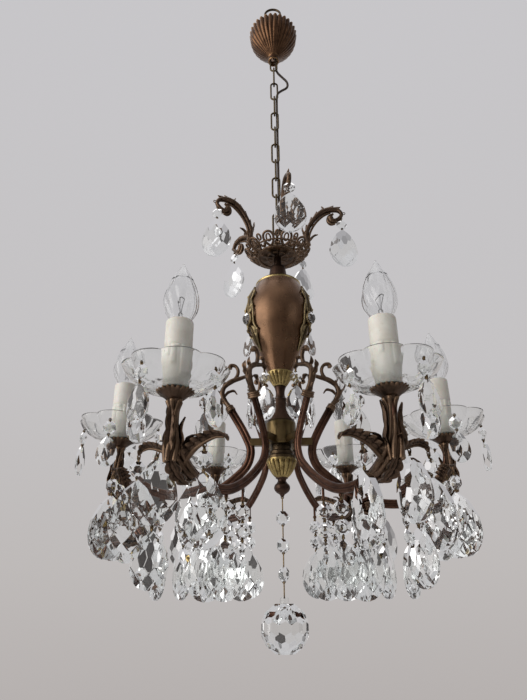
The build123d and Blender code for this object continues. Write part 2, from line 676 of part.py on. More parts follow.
def build():
    os.makedirs("parts", exist_ok=True)

    # suspension
    save("hook_ring", hoop(ring_bore, ring_wire, -ring_bore / 2, (0, 1, 0)))
    save("chain_link_1", link(0))
    save("chain_link_2", link(1))
    save("chain_links", *[link(k) for k in range(2, link_count)])
    points = cable_route()
    path = route_wire(points)
    section = Plane(origin=path @ 0, z_dir=path % 0) * Circle(cable_diameter / 2)
    cable = sweep(section, path=path)
    print("cable radii", [round(r, 1) for r in bend_radii(points)], "length", round(path.length, 1),
          "volume", round(cable.volume), "of", round(pi * cable_diameter ** 2 / 4 * path.length))
    save("supply_cable", cable)
    save("canopy", canopy())

    # crown
    bore = rod_diameter + 2 * fit_gap
    eye_axis = (0, 1, 0) if link_count % 2 else (1, 0, 0)
    eye = hoop(eye_bore, eye_wire, eye_top - eye_wire - eye_bore / 2, eye_axis)
    boss_r, boss_low = eye_boss_diameter / 2, z_dish_floor + dish_floor_thickness
    boss = turned((0, boss_low), (boss_r, boss_low), (boss_r, z_boss_top - 4), (5, z_boss_top),
                  (0, z_boss_top))
    boss = bored(boss, bore, z_dish_floor, z_boss_top - rod_engagement)
    save("crown_eye", boss + eye)
    dish = crown_dish()
    save("crown_dish", dish)
    scroll = crown_scroll() - dish
    save("crown_scrolls", *[place(scroll, first_crown_arm + 360 / crown_arms * k) for k in range(crown_arms)])

    # column
    neck, top, foot = cone_neck_diameter / 2, cone_top_diameter / 2, cone_bottom_diameter / 2
    cone = turned((0, z_cone_bottom), (foot, z_cone_bottom), (top, z_cone_top), (neck, z_cone_top),
                  (neck, z_dish_floor), (0, z_dish_floor))
    save("upper_cone", bored(cone, bore))
    rim = vase_top_diameter / 2
    collar = turned((0, z_vase_top), (rim, z_vase_top), (rim + 0.5, z_vase_top + 2),
                    (rim - 2, z_vase_top + 4.5), (foot + 2, z_cone_bottom - 1.2), (foot, z_cone_bottom),
                    (0, z_cone_bottom))
    save("vase_collar", bored(collar, bore))
    side = vase_side()
    floor = turned((bore / 2, z_vase_bottom), (side[0][0] - vase_wall / 2, z_vase_bottom),
                   (side[0][0] - vase_wall / 2, z_vase_bottom + 2), (bore / 2, z_vase_bottom + 2))
    save("vase_body", turned_curve(0, 0, side, vase_wall) + floor)
    mount = vase_mount()
    stones = vase_crystal()
    mounts, crystals = [], []
    for k in range(mount_count):
        turn = -60 + 360 / mount_count * k
        mounts.append(place(mount, turn))
        crystals += turned_string(stones, turn)
    save("vase_mounts", *mounts)
    save("vase_crystals", *crystals)
    cup_low, cup_high = cup_bottom_diameter / 2, cup_top_diameter / 2
    cup = turned((0, z_cup_bottom), (cup_low, z_cup_bottom), (cup_low + 3.4, z_cup_bottom + 7),
                 (cup_high, z_vase_bottom - 2), (cup_high, z_vase_bottom), (0, z_vase_bottom))
    cup = fluted(cup, cup_flutes, (cup_low + 0.5, z_cup_bottom), (cup_high, z_vase_bottom - 2), 1.6, 0.9)
    waist, low = spindle_waist / 2, spindle_bottom_diameter / 2
    waist_z = z_spindle_bottom + (z_cup_bottom - z_spindle_bottom) * 0.56
    spindle = turned_curve(z_spindle_bottom, z_cup_bottom, [(low, z_spindle_bottom),
                                                            (low - 2.6, z_spindle_bottom + 3),
                                                            (waist, waist_z), (cup_low, z_cup_bottom)])
    cone = turned((0, z_hub_top), (hub_diameter / 2 - 1, z_hub_top), (low, z_spindle_bottom),
                  (0, z_spindle_bottom))
    save("spindle_neck", bored(spindle, bore), bored(cone, bore))

    # arms
    bar = arm()
    arms = [place(bar, arm_azimuth(k)) for k in range(arm_count)]
    save("arms", *arms)
    save("hub_drum", hub_drum(arms))
    save("hub_rings", hub_rings())
    bowl_low, bowl_high = bowl_bottom_diameter / 2, bowl_top_diameter / 2
    bowl = turned((0, z_bowl_bottom), (bowl_low, z_bowl_bottom), (bowl_low + 6.5, z_bowl_bottom + 9),
                  (bowl_high - 1.2, z_rings_bottom - 3), (bowl_high, z_rings_bottom), (0, z_rings_bottom))
    bowl = fluted(bowl, bowl_flutes, (bowl_low + 1, z_bowl_bottom), (bowl_high + 1, z_rings_bottom - 3),
                  1.7, 0.9)
    save("fluted_cups", bored(cup, bore), bored(bowl, bore))
    finial_r, low = finial_diameter / 2, z_finial_bottom
    tip = turned((0, low), (2.2, low), (2.2, low + 3), (6, low + 4.5), (finial_r, low + 9.5),
                 (finial_r - 1, low + 13.5), (5.4, z_bowl_bottom - 5), (5.2, z_bowl_bottom - 2),
                 (bowl_low, z_bowl_bottom), (0, z_bowl_bottom))
    save("finial", bored(tip, bore, z_bowl_bottom - rod_engagement, z_bowl_bottom))
    rod_low = z_bowl_bottom - rod_engagement + rod_end_gap
    rod_high = z_boss_top - rod_engagement - rod_end_gap
    rod = Cylinder(rod_diameter / 2, rod_high - rod_low)
    save("threaded_rod", Pos(0, 0, height((rod_low + rod_high) / 2)) * rod)
    ornament = arm_scroll() - bar
    save("arm_scrolls", *[place(ornament, arm_azimuth(k)) for k in range(arm_count)])
    save("arm_leaves", *[place(arm_leaves(k, bar), arm_azimuth(k)) for k in range(arm_count)])

    # candles
    everywhere = range(arm_count)
    pan, saucer, socket, tube = drip_pan(), bobeche(), holder(), sleeve()
    hole_r, washer_r = nipple_diameter / 2 + hole_gap, washer_diameter / 2
    washer = turned((hole_r, bobeche_floor_top), (washer_r, bobeche_floor_top), (washer_r, washer_top),
                    (hole_r, washer_top))
    save("drip_pans", *[at_candle(pan, k) for k in everywhere], *[at_candle(washer, k) for k in everywhere])
    save("bobeches", *[at_candle(saucer, k) for k in everywhere])
    save("lampholders", *[at_candle(socket, k) for k in everywhere])
    save("candle_sleeves", *[at_candle(tube, k) for k in everywhere])
    lamp = bulb()
    for k in everywhere:
        save(f"bulb_{k + 1}", *[at_candle(piece, k) for piece in lamp])

    # drops, grouped where they hang on one line
    tip_r, tip_z = crown_tip
    for k in range(crown_arms):
        turn = first_crown_arm + 360 / crown_arms * k
        facing = crown_facings[k] + 90 - turn
        drop = string_of_crystals(hook_point(tip_r, 0, tip_z - 3), 1, medium_pear, facing)
        save(f"crown_drop_{k + 1}", *turned_string(drop, turn))
    half_turn = arm_count // 2
    for k in range(half_turn):
        pair = []
        for turn in (arm_azimuth(k), arm_azimuth(k + half_turn)):
            drop = string_of_crystals(hook_point(scroll_tip[0], 0, scroll_tip[1] - 3), 1, scroll_pear, 90)
            pair += turned_string(drop, turn)
        save(f"scroll_drops_{k + 1}", *pair)
    for k in range(arm_count):
        turn, drops = arm_azimuth(k), []
        for along, beads, length, facing, second in arm_strings[k]:
            hook = hook_point(leaf_circle, along, z_leaf_hooks)
            drops += string_of_crystals(hook, beads, length, facing + 90 - turn, second)
        save(f"arm_drops_{k + 1}", *turned_string(drops, turn))
    for k in range(half_turn):
        drops = []
        for index in (k, k + half_turn):
            turn = arm_azimuth(index)
            for r, facing in zip(inner_radii, inner_facings[index]):
                hook = hook_point(r, 0, z_inner_hooks)
                string = string_of_crystals(hook, inner_beads, inner_pear, facing + 90 - turn)
                drops += turned_string(string, turn)
        save(f"inner_drops_{k + 1}", *drops)
    hook_z = under_bobeche(bobeche_hook_radius - pin_radius) - (bobeche_hook_gap - hook_gap / 2)
    save_bobeche_drops(bobeche_hook_radius, hook_z, half_turn)

    # ball
    solids, here = [], Vector(0, 0, height(z_finial_bottom) - hook_gap)
    for wire_length in (16.0, 15.0, 15.0):
        solids += [pin(here, wire_length)]
        here -= Vector(0, 0, wire_length)
        solids += [BEAD.rotate(Axis.Z, 8 * len(solids)).translate(here)]
        here -= Vector(0, 0, octagon_size)
    solids += [pin(here, 16.0)]
    here -= Vector(0, 0, 16.0)
    solids += [Pos(0, 0, here.Z - 3) * Cylinder(5, 6)]
    solids += [faceted_ball().translate(here - Vector(0, 0, 6))]
    save("ball_string", *solids)


def save_bobeche_drops(hook_r, hook_z, half_turn):
    """Small drops under the lobes: those on a line through the axis go together, and those across."""
    def drop(along_r, along_y, turn, facing):
        hook = hook_point(arm_circle + along_r, along_y, hook_z)
        string = string_of_crystals(hook, 1, small_pear, facing, wire=small_pin_length)
        return turned_string(string, turn)

    for k in range(half_turn):
        four = []
        for turn in (arm_azimuth(k), arm_azimuth(k + half_turn)):
            four += drop(hook_r, 0, turn, 90) + drop(-hook_r, 0, turn, 90)
        save(f"bobeche_drops_radial_{k + 1}", *four)
    for k in range(arm_count):
        turn = arm_azimuth(k)
        save(f"bobeche_drops_side_{k + 1}", *(drop(0, hook_r, turn, 0) + drop(0, -hook_r, turn, 0)))


build()
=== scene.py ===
import json
import random
import bpy
import numpy as np
from math import atan2, cos, hypot, pi, radians, sin
from mathutils import Matrix, Vector

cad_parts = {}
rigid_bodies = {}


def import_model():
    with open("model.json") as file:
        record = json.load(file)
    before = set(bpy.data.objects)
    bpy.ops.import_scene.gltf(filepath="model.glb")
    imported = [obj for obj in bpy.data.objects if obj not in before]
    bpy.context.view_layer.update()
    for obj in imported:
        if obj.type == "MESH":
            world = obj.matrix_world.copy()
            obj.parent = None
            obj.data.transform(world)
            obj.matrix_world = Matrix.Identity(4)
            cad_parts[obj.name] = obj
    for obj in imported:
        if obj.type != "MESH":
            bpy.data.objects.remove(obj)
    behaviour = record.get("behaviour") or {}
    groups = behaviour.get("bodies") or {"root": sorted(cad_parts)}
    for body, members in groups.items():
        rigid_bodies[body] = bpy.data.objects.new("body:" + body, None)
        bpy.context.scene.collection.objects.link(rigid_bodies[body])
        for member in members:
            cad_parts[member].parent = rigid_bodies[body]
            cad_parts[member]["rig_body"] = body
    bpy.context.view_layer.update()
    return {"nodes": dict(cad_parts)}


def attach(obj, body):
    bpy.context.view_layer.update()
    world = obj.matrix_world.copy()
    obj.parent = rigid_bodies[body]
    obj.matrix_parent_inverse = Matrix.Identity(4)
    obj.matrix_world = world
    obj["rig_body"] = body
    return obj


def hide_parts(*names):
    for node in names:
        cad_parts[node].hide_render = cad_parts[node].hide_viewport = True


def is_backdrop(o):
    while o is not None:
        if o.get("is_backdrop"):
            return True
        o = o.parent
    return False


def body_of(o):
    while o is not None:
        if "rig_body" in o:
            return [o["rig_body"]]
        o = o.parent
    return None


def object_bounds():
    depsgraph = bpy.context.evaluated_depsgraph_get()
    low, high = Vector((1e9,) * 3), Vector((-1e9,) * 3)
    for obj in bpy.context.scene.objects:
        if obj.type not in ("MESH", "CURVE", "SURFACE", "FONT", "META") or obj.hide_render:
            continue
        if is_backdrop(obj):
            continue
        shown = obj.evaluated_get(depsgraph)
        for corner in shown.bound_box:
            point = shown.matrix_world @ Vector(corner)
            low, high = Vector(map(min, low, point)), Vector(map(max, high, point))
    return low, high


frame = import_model()
nodes = frame["nodes"]

# Pieces are drawn in millimetres: x outwards, y along the circle, z from the drip pans' rims.
LEVEL = -825.5
ARM_CIRCLE = 200.0
LEAF_CIRCLE = 187.0
ARMS = [30 + 60 * k for k in range(6)]
CROWN_ARMS = [10 + 72 * k for k in range(5)]
VASE_MOUNTS = [-60 + 120 * k for k in range(3)]

BAR_END = 0.6  # how far a bar's rounded end reaches, as a share of its radius
LEAF_VALLEY, LEAF_TOOTH = 0.52, 0.48  # shares of a leaf's width between its teeth and at them
WAX_SEED = 3
BULB_TURN, FILAMENT_TURN = 37, 50  # degrees from one bulb to the next, so no two are seen alike
FLOOR_RADIUS, FLOOR_LEVEL, FLOOR_SIDES = 3.2, -1.95, 96
CARDS, CARD_CIRCLE, CARD_COLOUR = 14, 2.3, (0.11, 0.102, 0.098)
SENSOR, FOCAL_PIXELS, PICTURE_HEIGHT = 36, 526, 700
CAMERA_PLACE = (-0.00615, -0.63587, -0.9965)
CAMERA_PITCH, CAMERA_YAW, CAMERA_ROLL = 0.429901, -0.02347, -0.00638197


# ---------------------------------------------------------------- shapes
def moved(part, x):
    """A part moved outwards."""
    return part[0] + np.array([x, 0.0, 0.0]), part[1]


def turned(part, angle):
    """A part turned about the axis, in degrees."""
    t = radians(angle)
    turn = np.array([[cos(t), -sin(t), 0], [sin(t), cos(t), 0], [0, 0, 1]])
    return part[0] @ turn.T, part[1]


def around(parts, azimuths, out=0.0):
    """Copies of parts drawn along +X, moved out and turned to each azimuth (0 faces -Y)."""
    return [turned(moved(part, x=out), azimuth - 90) for azimuth in azimuths for part in parts]


def flow(points, count):
    """Points along a smooth curve through the given ones."""
    points = np.array(points, float)
    steps = np.linalg.norm(np.diff(points, axis=0), axis=1) ** 0.5
    knots = np.concatenate([[0], np.cumsum(steps)])
    slopes = np.gradient(points, knots, axis=0)
    out = []
    for t in np.linspace(0, knots[-1], count):
        i = min(np.searchsorted(knots, t, side="right") - 1, len(points) - 2)
        h = knots[i + 1] - knots[i]
        u = (t - knots[i]) / h
        out.append((2 * u ** 3 - 3 * u ** 2 + 1) * points[i] + (u ** 3 - 2 * u ** 2 + u) * h * slopes[i]
                   + (3 * u ** 2 - 2 * u ** 3) * points[i + 1] + (u ** 3 - u ** 2) * h * slopes[i + 1])
    return np.array(out)


def spread(values, count):
    """A list of values stretched to a number of stations."""
    return np.interp(np.linspace(0, 1, count), np.linspace(0, 1, len(values)), values)


def lathe(profile, count, shape=None, closed=False):
    """A turned surface from (radius, height) points; shape(r, z, angle) may vary it round the axis."""
    verts, faces, rows = [], [], len(profile)
    for r, z in profile:
        for k in range(count):
            t = 2 * pi * k / count
            r1, z1 = shape(r, z, t) if shape else (r, z)
            verts.append((r1 * cos(t), r1 * sin(t), z1))
    for i in range(rows if closed else rows - 1):
        for k in range(count):
            a, b = i * count + k, i * count + (k + 1) % count
            c, d = ((i + 1) % rows) * count + (k + 1) % count, ((i + 1) % rows) * count + k
            faces.append((a, b, c, d))
    return np.array(verts), faces


def tube(points, radii, sides=10, oval=1.0, smooth=None, closed=False):
    """A round or oval bar along a path, with rounded ends."""
    path = flow(points, smooth) if smooth else np.array(points, float)
    count = len(path)
    radius = spread(radii, count) if np.ndim(radii) else np.full(count, float(radii))
    if closed:
        along = np.roll(path, -1, axis=0) - np.roll(path, 1, axis=0)
    else:
        along = np.gradient(path, axis=0)
    along /= np.linalg.norm(along, axis=1)[:, None]
    side = np.cross(along[0], (0, 1, 0) if abs(along[0][1]) < 0.9 else (1, 0, 0))
    verts, faces = [], []
    for i in range(count):
        side = side - along[i] * np.dot(side, along[i])
        side /= np.linalg.norm(side)
        over = np.cross(along[i], side)
        for k in range(sides):
            t = 2 * pi * k / sides
            verts.append(path[i] + radius[i] * (cos(t) * side + sin(t) * over * oval))
    for i in range(count if closed else count - 1):
        j = (i + 1) % count
        for k in range(sides):
            n = (k + 1) % sides
            faces.append((i * sides + k, i * sides + n, j * sides + n, j * sides + k))
    if not closed:
        for i, sign in ((0, -1), (count - 1, 1)):
            verts.append(path[i] + along[i] * sign * radius[i] * BAR_END)
            tip = len(verts) - 1
            for k in range(sides):
                faces.append((i * sides + k, i * sides + (k + 1) % sides, tip))
    return np.array(verts), faces


def leaf(points, widths, thick, teeth, curl, ribs, stations, across):
    """An acanthus leaf along a curve in the XZ plane: toothed edges, ribs, both faces."""
    path = flow(points, stations)
    along = np.gradient(path, axis=0)
    along /= np.linalg.norm(along, axis=1)[:, None]
    normal = np.stack([-along[:, 1], along[:, 0]], axis=1)
    width = spread(widths, stations)
    front, back = [], []
    for i in range(stations):
        u = i / (stations - 1)
        notch = abs(sin(pi * teeth * u)) ** 0.6
        reach = width[i] / 2 * (LEAF_VALLEY + LEAF_TOOTH * notch)
        lean = -0.35 * width[i] * (notch - 0.5) / max(teeth, 1)
        for k in range(across):
            v = -1 + 2 * k / (across - 1)
            rise = -curl * width[i] * v * v + 0.05 * width[i] * cos(pi * v * ribs) * (1 - v * v)
            body = thick / 2 * max(1 - v ** 4, 0.0) ** 0.5 * (1 - 0.5 * u)
            place = path[i] + normal[i] * rise + along[i] * lean * v * v
            for row, sign in ((front, 1), (back, -1)):
                spot = place + normal[i] * body * sign
                row.append((spot[0], v * reach, spot[1]))
    verts, faces = front + back, []
    shift = stations * across
    for i in range(stations - 1):
        for k in range(across - 1):
            a = i * across + k
            faces.append((a, a + 1, a + across + 1, a + across))
            faces.append((a + shift, a + across + shift, a + across + 1 + shift, a + 1 + shift))
    for i in (0, stations - 1):
        for k in range(across - 1):
            a = i * across + k
            faces.append((a, a + 1, a + 1 + shift, a + shift))
    return np.array(verts), faces


def flat(points):
    """(x, z) points as points in space."""
    return [(x, 0.0, z) for x, z in points]


def bar(points, radii, sides=10, oval=1.0, smooth=None):
    """A bar along a line in the XZ plane."""
    return tube(flat(points), radii, sides, oval, smooth)


def torus(centre, radius, wire, normal, count=18, sides=7):
    """A ring of wire round a centre."""
    normal = Vector(normal).normalized()
    u = normal.orthogonal().normalized()
    v = normal.cross(u)
    ring = [np.array(centre) + radius * (cos(2 * pi * k / count) * np.array(u)
                                         + sin(2 * pi * k / count) * np.array(v)) for k in range(count)]
    return tube(ring, wire, sides, closed=True)


def add_object(name, data):
    """A new object in the scene."""
    thing = bpy.data.objects.new(name, data)
    bpy.context.scene.collection.objects.link(thing)
    return thing


# The route of the supply cable, in metres: the points of its solid in the CAD model.
CABLE_ROUTE = [(0.00385, 0.00385, -0.1095), (0.00385, 0.00385, -0.1495), (0.00485, 0.00485, -0.1635),
               (0.01485, 0.00785, -0.1735), (0.02385, 0.00885, -0.1845), (0.02385, 0.00885, -0.1985),
               (0.01285, 0.00785, -0.2065), (0.00485, 0.00485, -0.2175), (0.00385, 0.00385, -0.2375),
               (0.0041, 0.0036, -0.2865), (0.00385, 0.00385, -0.3355), (0.0041, 0.0036, -0.3845),
               (0.00385, 0.00385, -0.4335), (0.0041, 0.0036, -0.4825), (0.00485, 0.00455, -0.5065),
               (0.00685, 0.00535, -0.5205), (0.00985, 0.00555, -0.5414), (0.00985, 0.00555, -0.5579)]


def supply_cable(material):
    """The cable from inside the canopy, through its loop, down beside the chain to the crown dish."""
    line = bpy.data.curves.new("supply_lead", "CURVE")
    line.dimensions = "3D"
    line.bevel_depth, line.bevel_resolution = 0.002, 3
    line.resolution_u = 12
    spline = line.splines.new("NURBS")
    spline.points.add(len(CABLE_ROUTE) - 1)
    for point, place in zip(spline.points, CABLE_ROUTE):
        point.co = (*place, 1)
    spline.order_u = 3
    spline.use_endpoint_u = True
    line.materials.append(material)
    lead = add_object("supply_lead", line)
    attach(lead, "frame")
    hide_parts("supply_cable")


def make(name, parts, material, body, hides=None, crease=40, lift=LEVEL):
    """One object from drawn parts, riding on a body; it may stand for CAD nodes."""
    verts, faces, base = [], [], 0
    for points, cells in parts:
        verts.append(points)
        faces += [tuple(i + base for i in cell) for cell in cells]
        base += len(points)
    points = (np.concatenate(verts) + np.array([0, 0, lift])) / 1000
    mesh = bpy.data.meshes.new(name)
    mesh.from_pydata(points.tolist(), [], faces)
    mesh.validate()
    mesh.shade_smooth()
    mesh.set_sharp_from_angle(angle=radians(crease))
    thing = add_object(name, mesh)
    bpy.context.view_layer.objects.active = thing
    thing.select_set(True)
    bpy.ops.object.mode_set(mode="EDIT")
    bpy.ops.mesh.select_all(action="SELECT")
    bpy.ops.mesh.normals_make_consistent(inside=False)
    bpy.ops.object.mode_set(mode="OBJECT")
    thing.select_set(False)
    thing.data.materials.append(material)
    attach(thing, body)
    if hides:
        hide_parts(*([hides] if isinstance(hides, str) else hides))
    return thing


def dress(material, *names):
    """A better material on CAD nodes that stay."""
    for name in names:
        slots = nodes[name].data.materials
        slots.clear()
        slots.append(material)


# ---------------------------------------------------------------- materials
def colour_ramp(tree, value, stops):
    """A value turned into a colour by (position, colour) stops."""
    node = tree.nodes.new("ShaderNodeValToRGB")
    band = node.color_ramp
    band.elements[0].position, band.elements[0].color = stops[0][0], (*stops[0][1], 1)
    band.elements[1].position, band.elements[1].color = stops[-1][0], (*stops[-1][1], 1)
    for place, colour in stops[1:-1]:
        band.elements.new(place).color = (*colour, 1)
    tree.links.new(value, node.inputs["Fac"])
    return node.outputs["Color"]


class Recipe:
    """A material under construction."""

    def __init__(self, name):
        self.material = bpy.data.materials.new(name)
        self.material.use_nodes = True
        self.tree = self.material.node_tree
        self.shader = self.tree.nodes["Principled BSDF"]
        self.place = self.tree.nodes.new("ShaderNodeTexCoord").outputs["Object"]

    def set(self, **values):
        for name, value in values.items():
            self.shader.inputs[name.replace("_", " ")].default_value = value

    def noise(self, scale, detail=4.0, rough=0.55, stretch=None):
        node = self.tree.nodes.new("ShaderNodeTexNoise")
        node.inputs["Scale"].default_value = scale
        node.inputs["Detail"].default_value = detail
        node.inputs["Roughness"].default_value = rough
        source = self.place
        if stretch:
            mapping = self.tree.nodes.new("ShaderNodeMapping")
            mapping.inputs["Scale"].default_value = stretch
            self.tree.links.new(source, mapping.inputs["Vector"])
            source = mapping.outputs["Vector"]
        self.tree.links.new(source, node.inputs["Vector"])
        return node.outputs["Fac"]

    def ramp(self, value, *stops):
        return colour_ramp(self.tree, value, stops)

    def mix(self, share, first, second):
        """One socket laid over by a plain colour, by a share that is itself a socket."""
        node = self.tree.nodes.new("ShaderNodeMix")
        node.data_type = "RGBA"
        factor, under, over = [i for i in node.inputs if i.enabled]
        self.tree.links.new(share, factor)
        self.tree.links.new(first, under)
        over.default_value = (*second, 1)
        return [o for o in node.outputs if o.enabled][0]

    def link(self, value, socket):
        self.tree.links.new(value, self.shader.inputs[socket])

    def bump(self, value, distance, strength=1.0):
        node = self.tree.nodes.new("ShaderNodeBump")
        node.inputs["Distance"].default_value = distance
        node.inputs["Strength"].default_value = strength
        self.tree.links.new(value, node.inputs["Height"])
        previous = self.shader.inputs["Normal"]
        if previous.links:
            self.tree.links.new(previous.links[0].from_socket, node.inputs["Normal"])
        self.tree.links.new(node.outputs["Normal"], previous)

    def edges(self):
        node = self.tree.nodes.new("ShaderNodeNewGeometry")
        return node.outputs["Pointiness"]


def grey(value):
    return (value, value, value)


def aged_metal(name, dark, middle, wear_and_highlight_colour, rough=(0.3, 0.5), scale=90.0, wear_and_painted_light_reach=0.03):
    """Patinated metal: clouded colour, raised edges lightened as rubbed wear and painted highlight, hollows
    darkened as patina and painted shade, a fine uneven skin.
    """
    recipe = Recipe(name)
    cloud = recipe.noise(scale, 5.0, 0.6)
    body = recipe.ramp(cloud, (0.32, dark), (0.5, middle), (0.72, tuple(m * 1.25 for m in middle)))
    # Hollows darkened by pointiness: patina and painted shade.
    patina_and_painted_shade = recipe.mix(recipe.ramp(recipe.edges(), (0.5 - wear_and_painted_light_reach, grey(1.0)), (0.495, grey(0.0))), body,
                        tuple(d * 0.45 for d in dark))
    # Raised edges lightened by pointiness: rubbed wear and painted highlight.
    high = recipe.ramp(recipe.edges(), (0.51 + wear_and_painted_light_reach * 0.3, grey(0.0)), (0.52 + wear_and_painted_light_reach * 2.4, grey(0.85)))
    recipe.link(recipe.mix(high, patina_and_painted_shade, wear_and_highlight_colour), "Base Color")
    recipe.link(recipe.ramp(recipe.noise(scale * 3.1, 4.0), (0.3, grey(rough[0])), (0.7, grey(rough[1]))),
                "Roughness")
    recipe.set(Metallic=1.0)
    recipe.bump(recipe.noise(scale * 9, 3.0), 0.00012)
    return recipe.material


def lacquered(name):
    """Brown-bronze lacquer with a warm glow, speckled with age."""
    recipe = Recipe(name)
    cloud = recipe.noise(26.0, 4.0, 0.55)
    tone = recipe.ramp(cloud, (0.3, (0.115, 0.062, 0.032)), (0.55, (0.175, 0.094, 0.049)),
                       (0.75, (0.23, 0.128, 0.068)))
    specks = recipe.ramp(recipe.noise(420.0, 3.0, 0.6), (0.60, grey(0.0)), (0.68, grey(0.55)))
    recipe.link(recipe.mix(specks, tone, (0.085, 0.045, 0.028)), "Base Color")
    recipe.link(recipe.ramp(recipe.noise(160.0, 4.0), (0.3, grey(0.25)), (0.72, grey(0.37))), "Roughness")
    recipe.set(Metallic=0.9, Coat_Weight=0.2, Coat_Roughness=0.25)
    recipe.bump(recipe.noise(700.0, 3.0), 0.00006)
    return recipe.material


def clear(name, tint, ior, ripple=0.0, scale=60.0):
    """Clear glass, with a slow ripple in its skin where it is pressed or blown."""
    recipe = Recipe(name)
    recipe.set(Transmission_Weight=1.0, IOR=ior)
    paler = tuple(min(t * 1.02, 1.0) for t in tint)
    recipe.link(recipe.ramp(recipe.noise(scale, 2.0), (0.3, tint), (0.7, paler)), "Base Color")
    recipe.link(recipe.ramp(recipe.noise(scale * 6, 3.0), (0.45, grey(0.0)), (0.8, grey(0.035))), "Roughness")
    if ripple:
        recipe.bump(recipe.noise(scale, 2.0), ripple)
    return recipe.material


def ivory(name):
    """Candle sleeve: ivory, a little yellowed in patches, waxy."""
    recipe = Recipe(name)
    tone = recipe.ramp(recipe.noise(55.0, 4.0), (0.3, (0.70, 0.66, 0.57)), (0.6, (0.80, 0.775, 0.70)))
    soil = recipe.ramp(recipe.noise(330.0, 3.0), (0.63, grey(0.0)), (0.75, grey(0.35)))
    recipe.link(recipe.mix(soil, tone, (0.50, 0.43, 0.31)), "Base Color")
    recipe.link(recipe.ramp(recipe.noise(210.0, 3.0), (0.3, grey(0.38)), (0.7, grey(0.5))), "Roughness")
    recipe.set(Subsurface_Weight=0.12, Subsurface_Scale=0.004)
    recipe.bump(recipe.noise(160.0, 3.0), 0.00015)
    return recipe.material


def braided(name):
    """The cable's braid: dark brown threads along it."""
    recipe = Recipe(name)
    recipe.link(recipe.ramp(recipe.noise(900.0, 2.0, 0.5, (1, 1, 0.25)), (0.4, (0.028, 0.018, 0.012)),
                            (0.62, (0.075, 0.05, 0.032))), "Base Color")
    recipe.link(recipe.ramp(recipe.noise(500.0), (0.3, grey(0.55)), (0.7, grey(0.75))), "Roughness")
    recipe.bump(recipe.noise(900.0, 2.0, 0.5, (1, 1, 0.25)), 0.0003)
    return recipe.material


def porcelain(name):
    """Glazed off-white lampholders."""
    recipe = Recipe(name)
    recipe.link(recipe.ramp(recipe.noise(80.0), (0.3, (0.70, 0.68, 0.62)), (0.7, (0.78, 0.76, 0.71))),
                "Base Color")
    recipe.link(recipe.ramp(recipe.noise(200.0), (0.3, grey(0.25)), (0.7, grey(0.4))), "Roughness")
    return recipe.material


ornament = aged_metal("ornament_bronze", (0.042, 0.028, 0.019), (0.098, 0.063, 0.043), (0.34, 0.22, 0.135),
                      rough=(0.28, 0.48), scale=110, wear_and_painted_light_reach=0.06)
arm_bronze = aged_metal("arm_bronze", (0.050, 0.026, 0.018), (0.105, 0.053, 0.035), (0.28, 0.165, 0.105),
                        rough=(0.26, 0.42), scale=70, wear_and_painted_light_reach=0.06)
column_bronze = aged_metal("column_bronze", (0.045, 0.027, 0.02), (0.08, 0.048, 0.034), (0.2, 0.125, 0.08),
                           rough=(0.32, 0.48), scale=60, wear_and_painted_light_reach=0.06)
dark_brass = aged_metal("dark_brass", (0.035, 0.025, 0.016), (0.075, 0.052, 0.031), (0.26, 0.18, 0.09),
                        rough=(0.3, 0.48), scale=120, wear_and_painted_light_reach=0.06)
chain_brass = aged_metal("chain_brass", (0.05, 0.037, 0.02), (0.115, 0.086, 0.048), (0.30, 0.23, 0.12),
                         rough=(0.34, 0.5), scale=140, wear_and_painted_light_reach=0.08)
barrel_brass = aged_metal("barrel_brass", (0.08, 0.058, 0.028), (0.15, 0.105, 0.048), (0.36, 0.26, 0.11),
                          rough=(0.28, 0.44), scale=60, wear_and_painted_light_reach=0.05)
gilt = aged_metal("gilt_brass", (0.17, 0.115, 0.045), (0.40, 0.30, 0.125), (0.72, 0.58, 0.30),
                  rough=(0.24, 0.4), scale=120, wear_and_painted_light_reach=0.035)
# Dark metal with gold on its raised edges: rubbed wear and painted highlight.
highlit_rubbed_gold = aged_metal("rubbed_and_highlit_gold", (0.03, 0.021, 0.013), (0.085, 0.06, 0.032), (0.42, 0.325, 0.175),
                    rough=(0.26, 0.42), scale=150, wear_and_painted_light_reach=0.03)
canopy_bronze = aged_metal("canopy_bronze", (0.05, 0.026, 0.016), (0.125, 0.066, 0.036), (0.42, 0.25, 0.12),
                           rough=(0.26, 0.42), scale=80, wear_and_painted_light_reach=0.04)
steel = aged_metal("threaded_steel", (0.22, 0.21, 0.2), (0.4, 0.39, 0.37), (0.6, 0.6, 0.58), scale=300)
vase_lacquer = lacquered("vase_lacquer")
crystal = clear("cut_crystal", (0.96, 0.975, 0.97), 1.47, scale=35)
dish_glass = clear("pressed_glass", (0.955, 0.965, 0.96), 1.5, ripple=0.0004, scale=45)
bulb_glass = clear("blown_glass", (0.97, 0.975, 0.975), 1.45, ripple=0.0002, scale=40)
candle = ivory("candle_ivory")
cable = braided("cable_braid")
holder_white = porcelain("holder_porcelain")
washer_grey = aged_metal("washer_zinc", (0.05, 0.058, 0.052), (0.13, 0.145, 0.13), (0.3, 0.32, 0.29),
                         rough=(0.35, 0.6), scale=160)

supply_cable(cable)
dress(chain_brass, "chain_link_1", "chain_link_2", "chain_links")
dress(dark_brass, "hook_ring", "crown_eye", "hub_rings")
dress(column_bronze, "upper_cone", "spindle_neck")
dress(barrel_brass, "hub_drum")
dress(gilt, "vase_collar")
dress(steel, "threaded_rod")
dress(arm_bronze, "arms")
dress(holder_white, "lampholders")
drops = [name for name in nodes if "drop" in name or name in ("ball_string", "vase_crystals")]
dress(crystal, *drops)


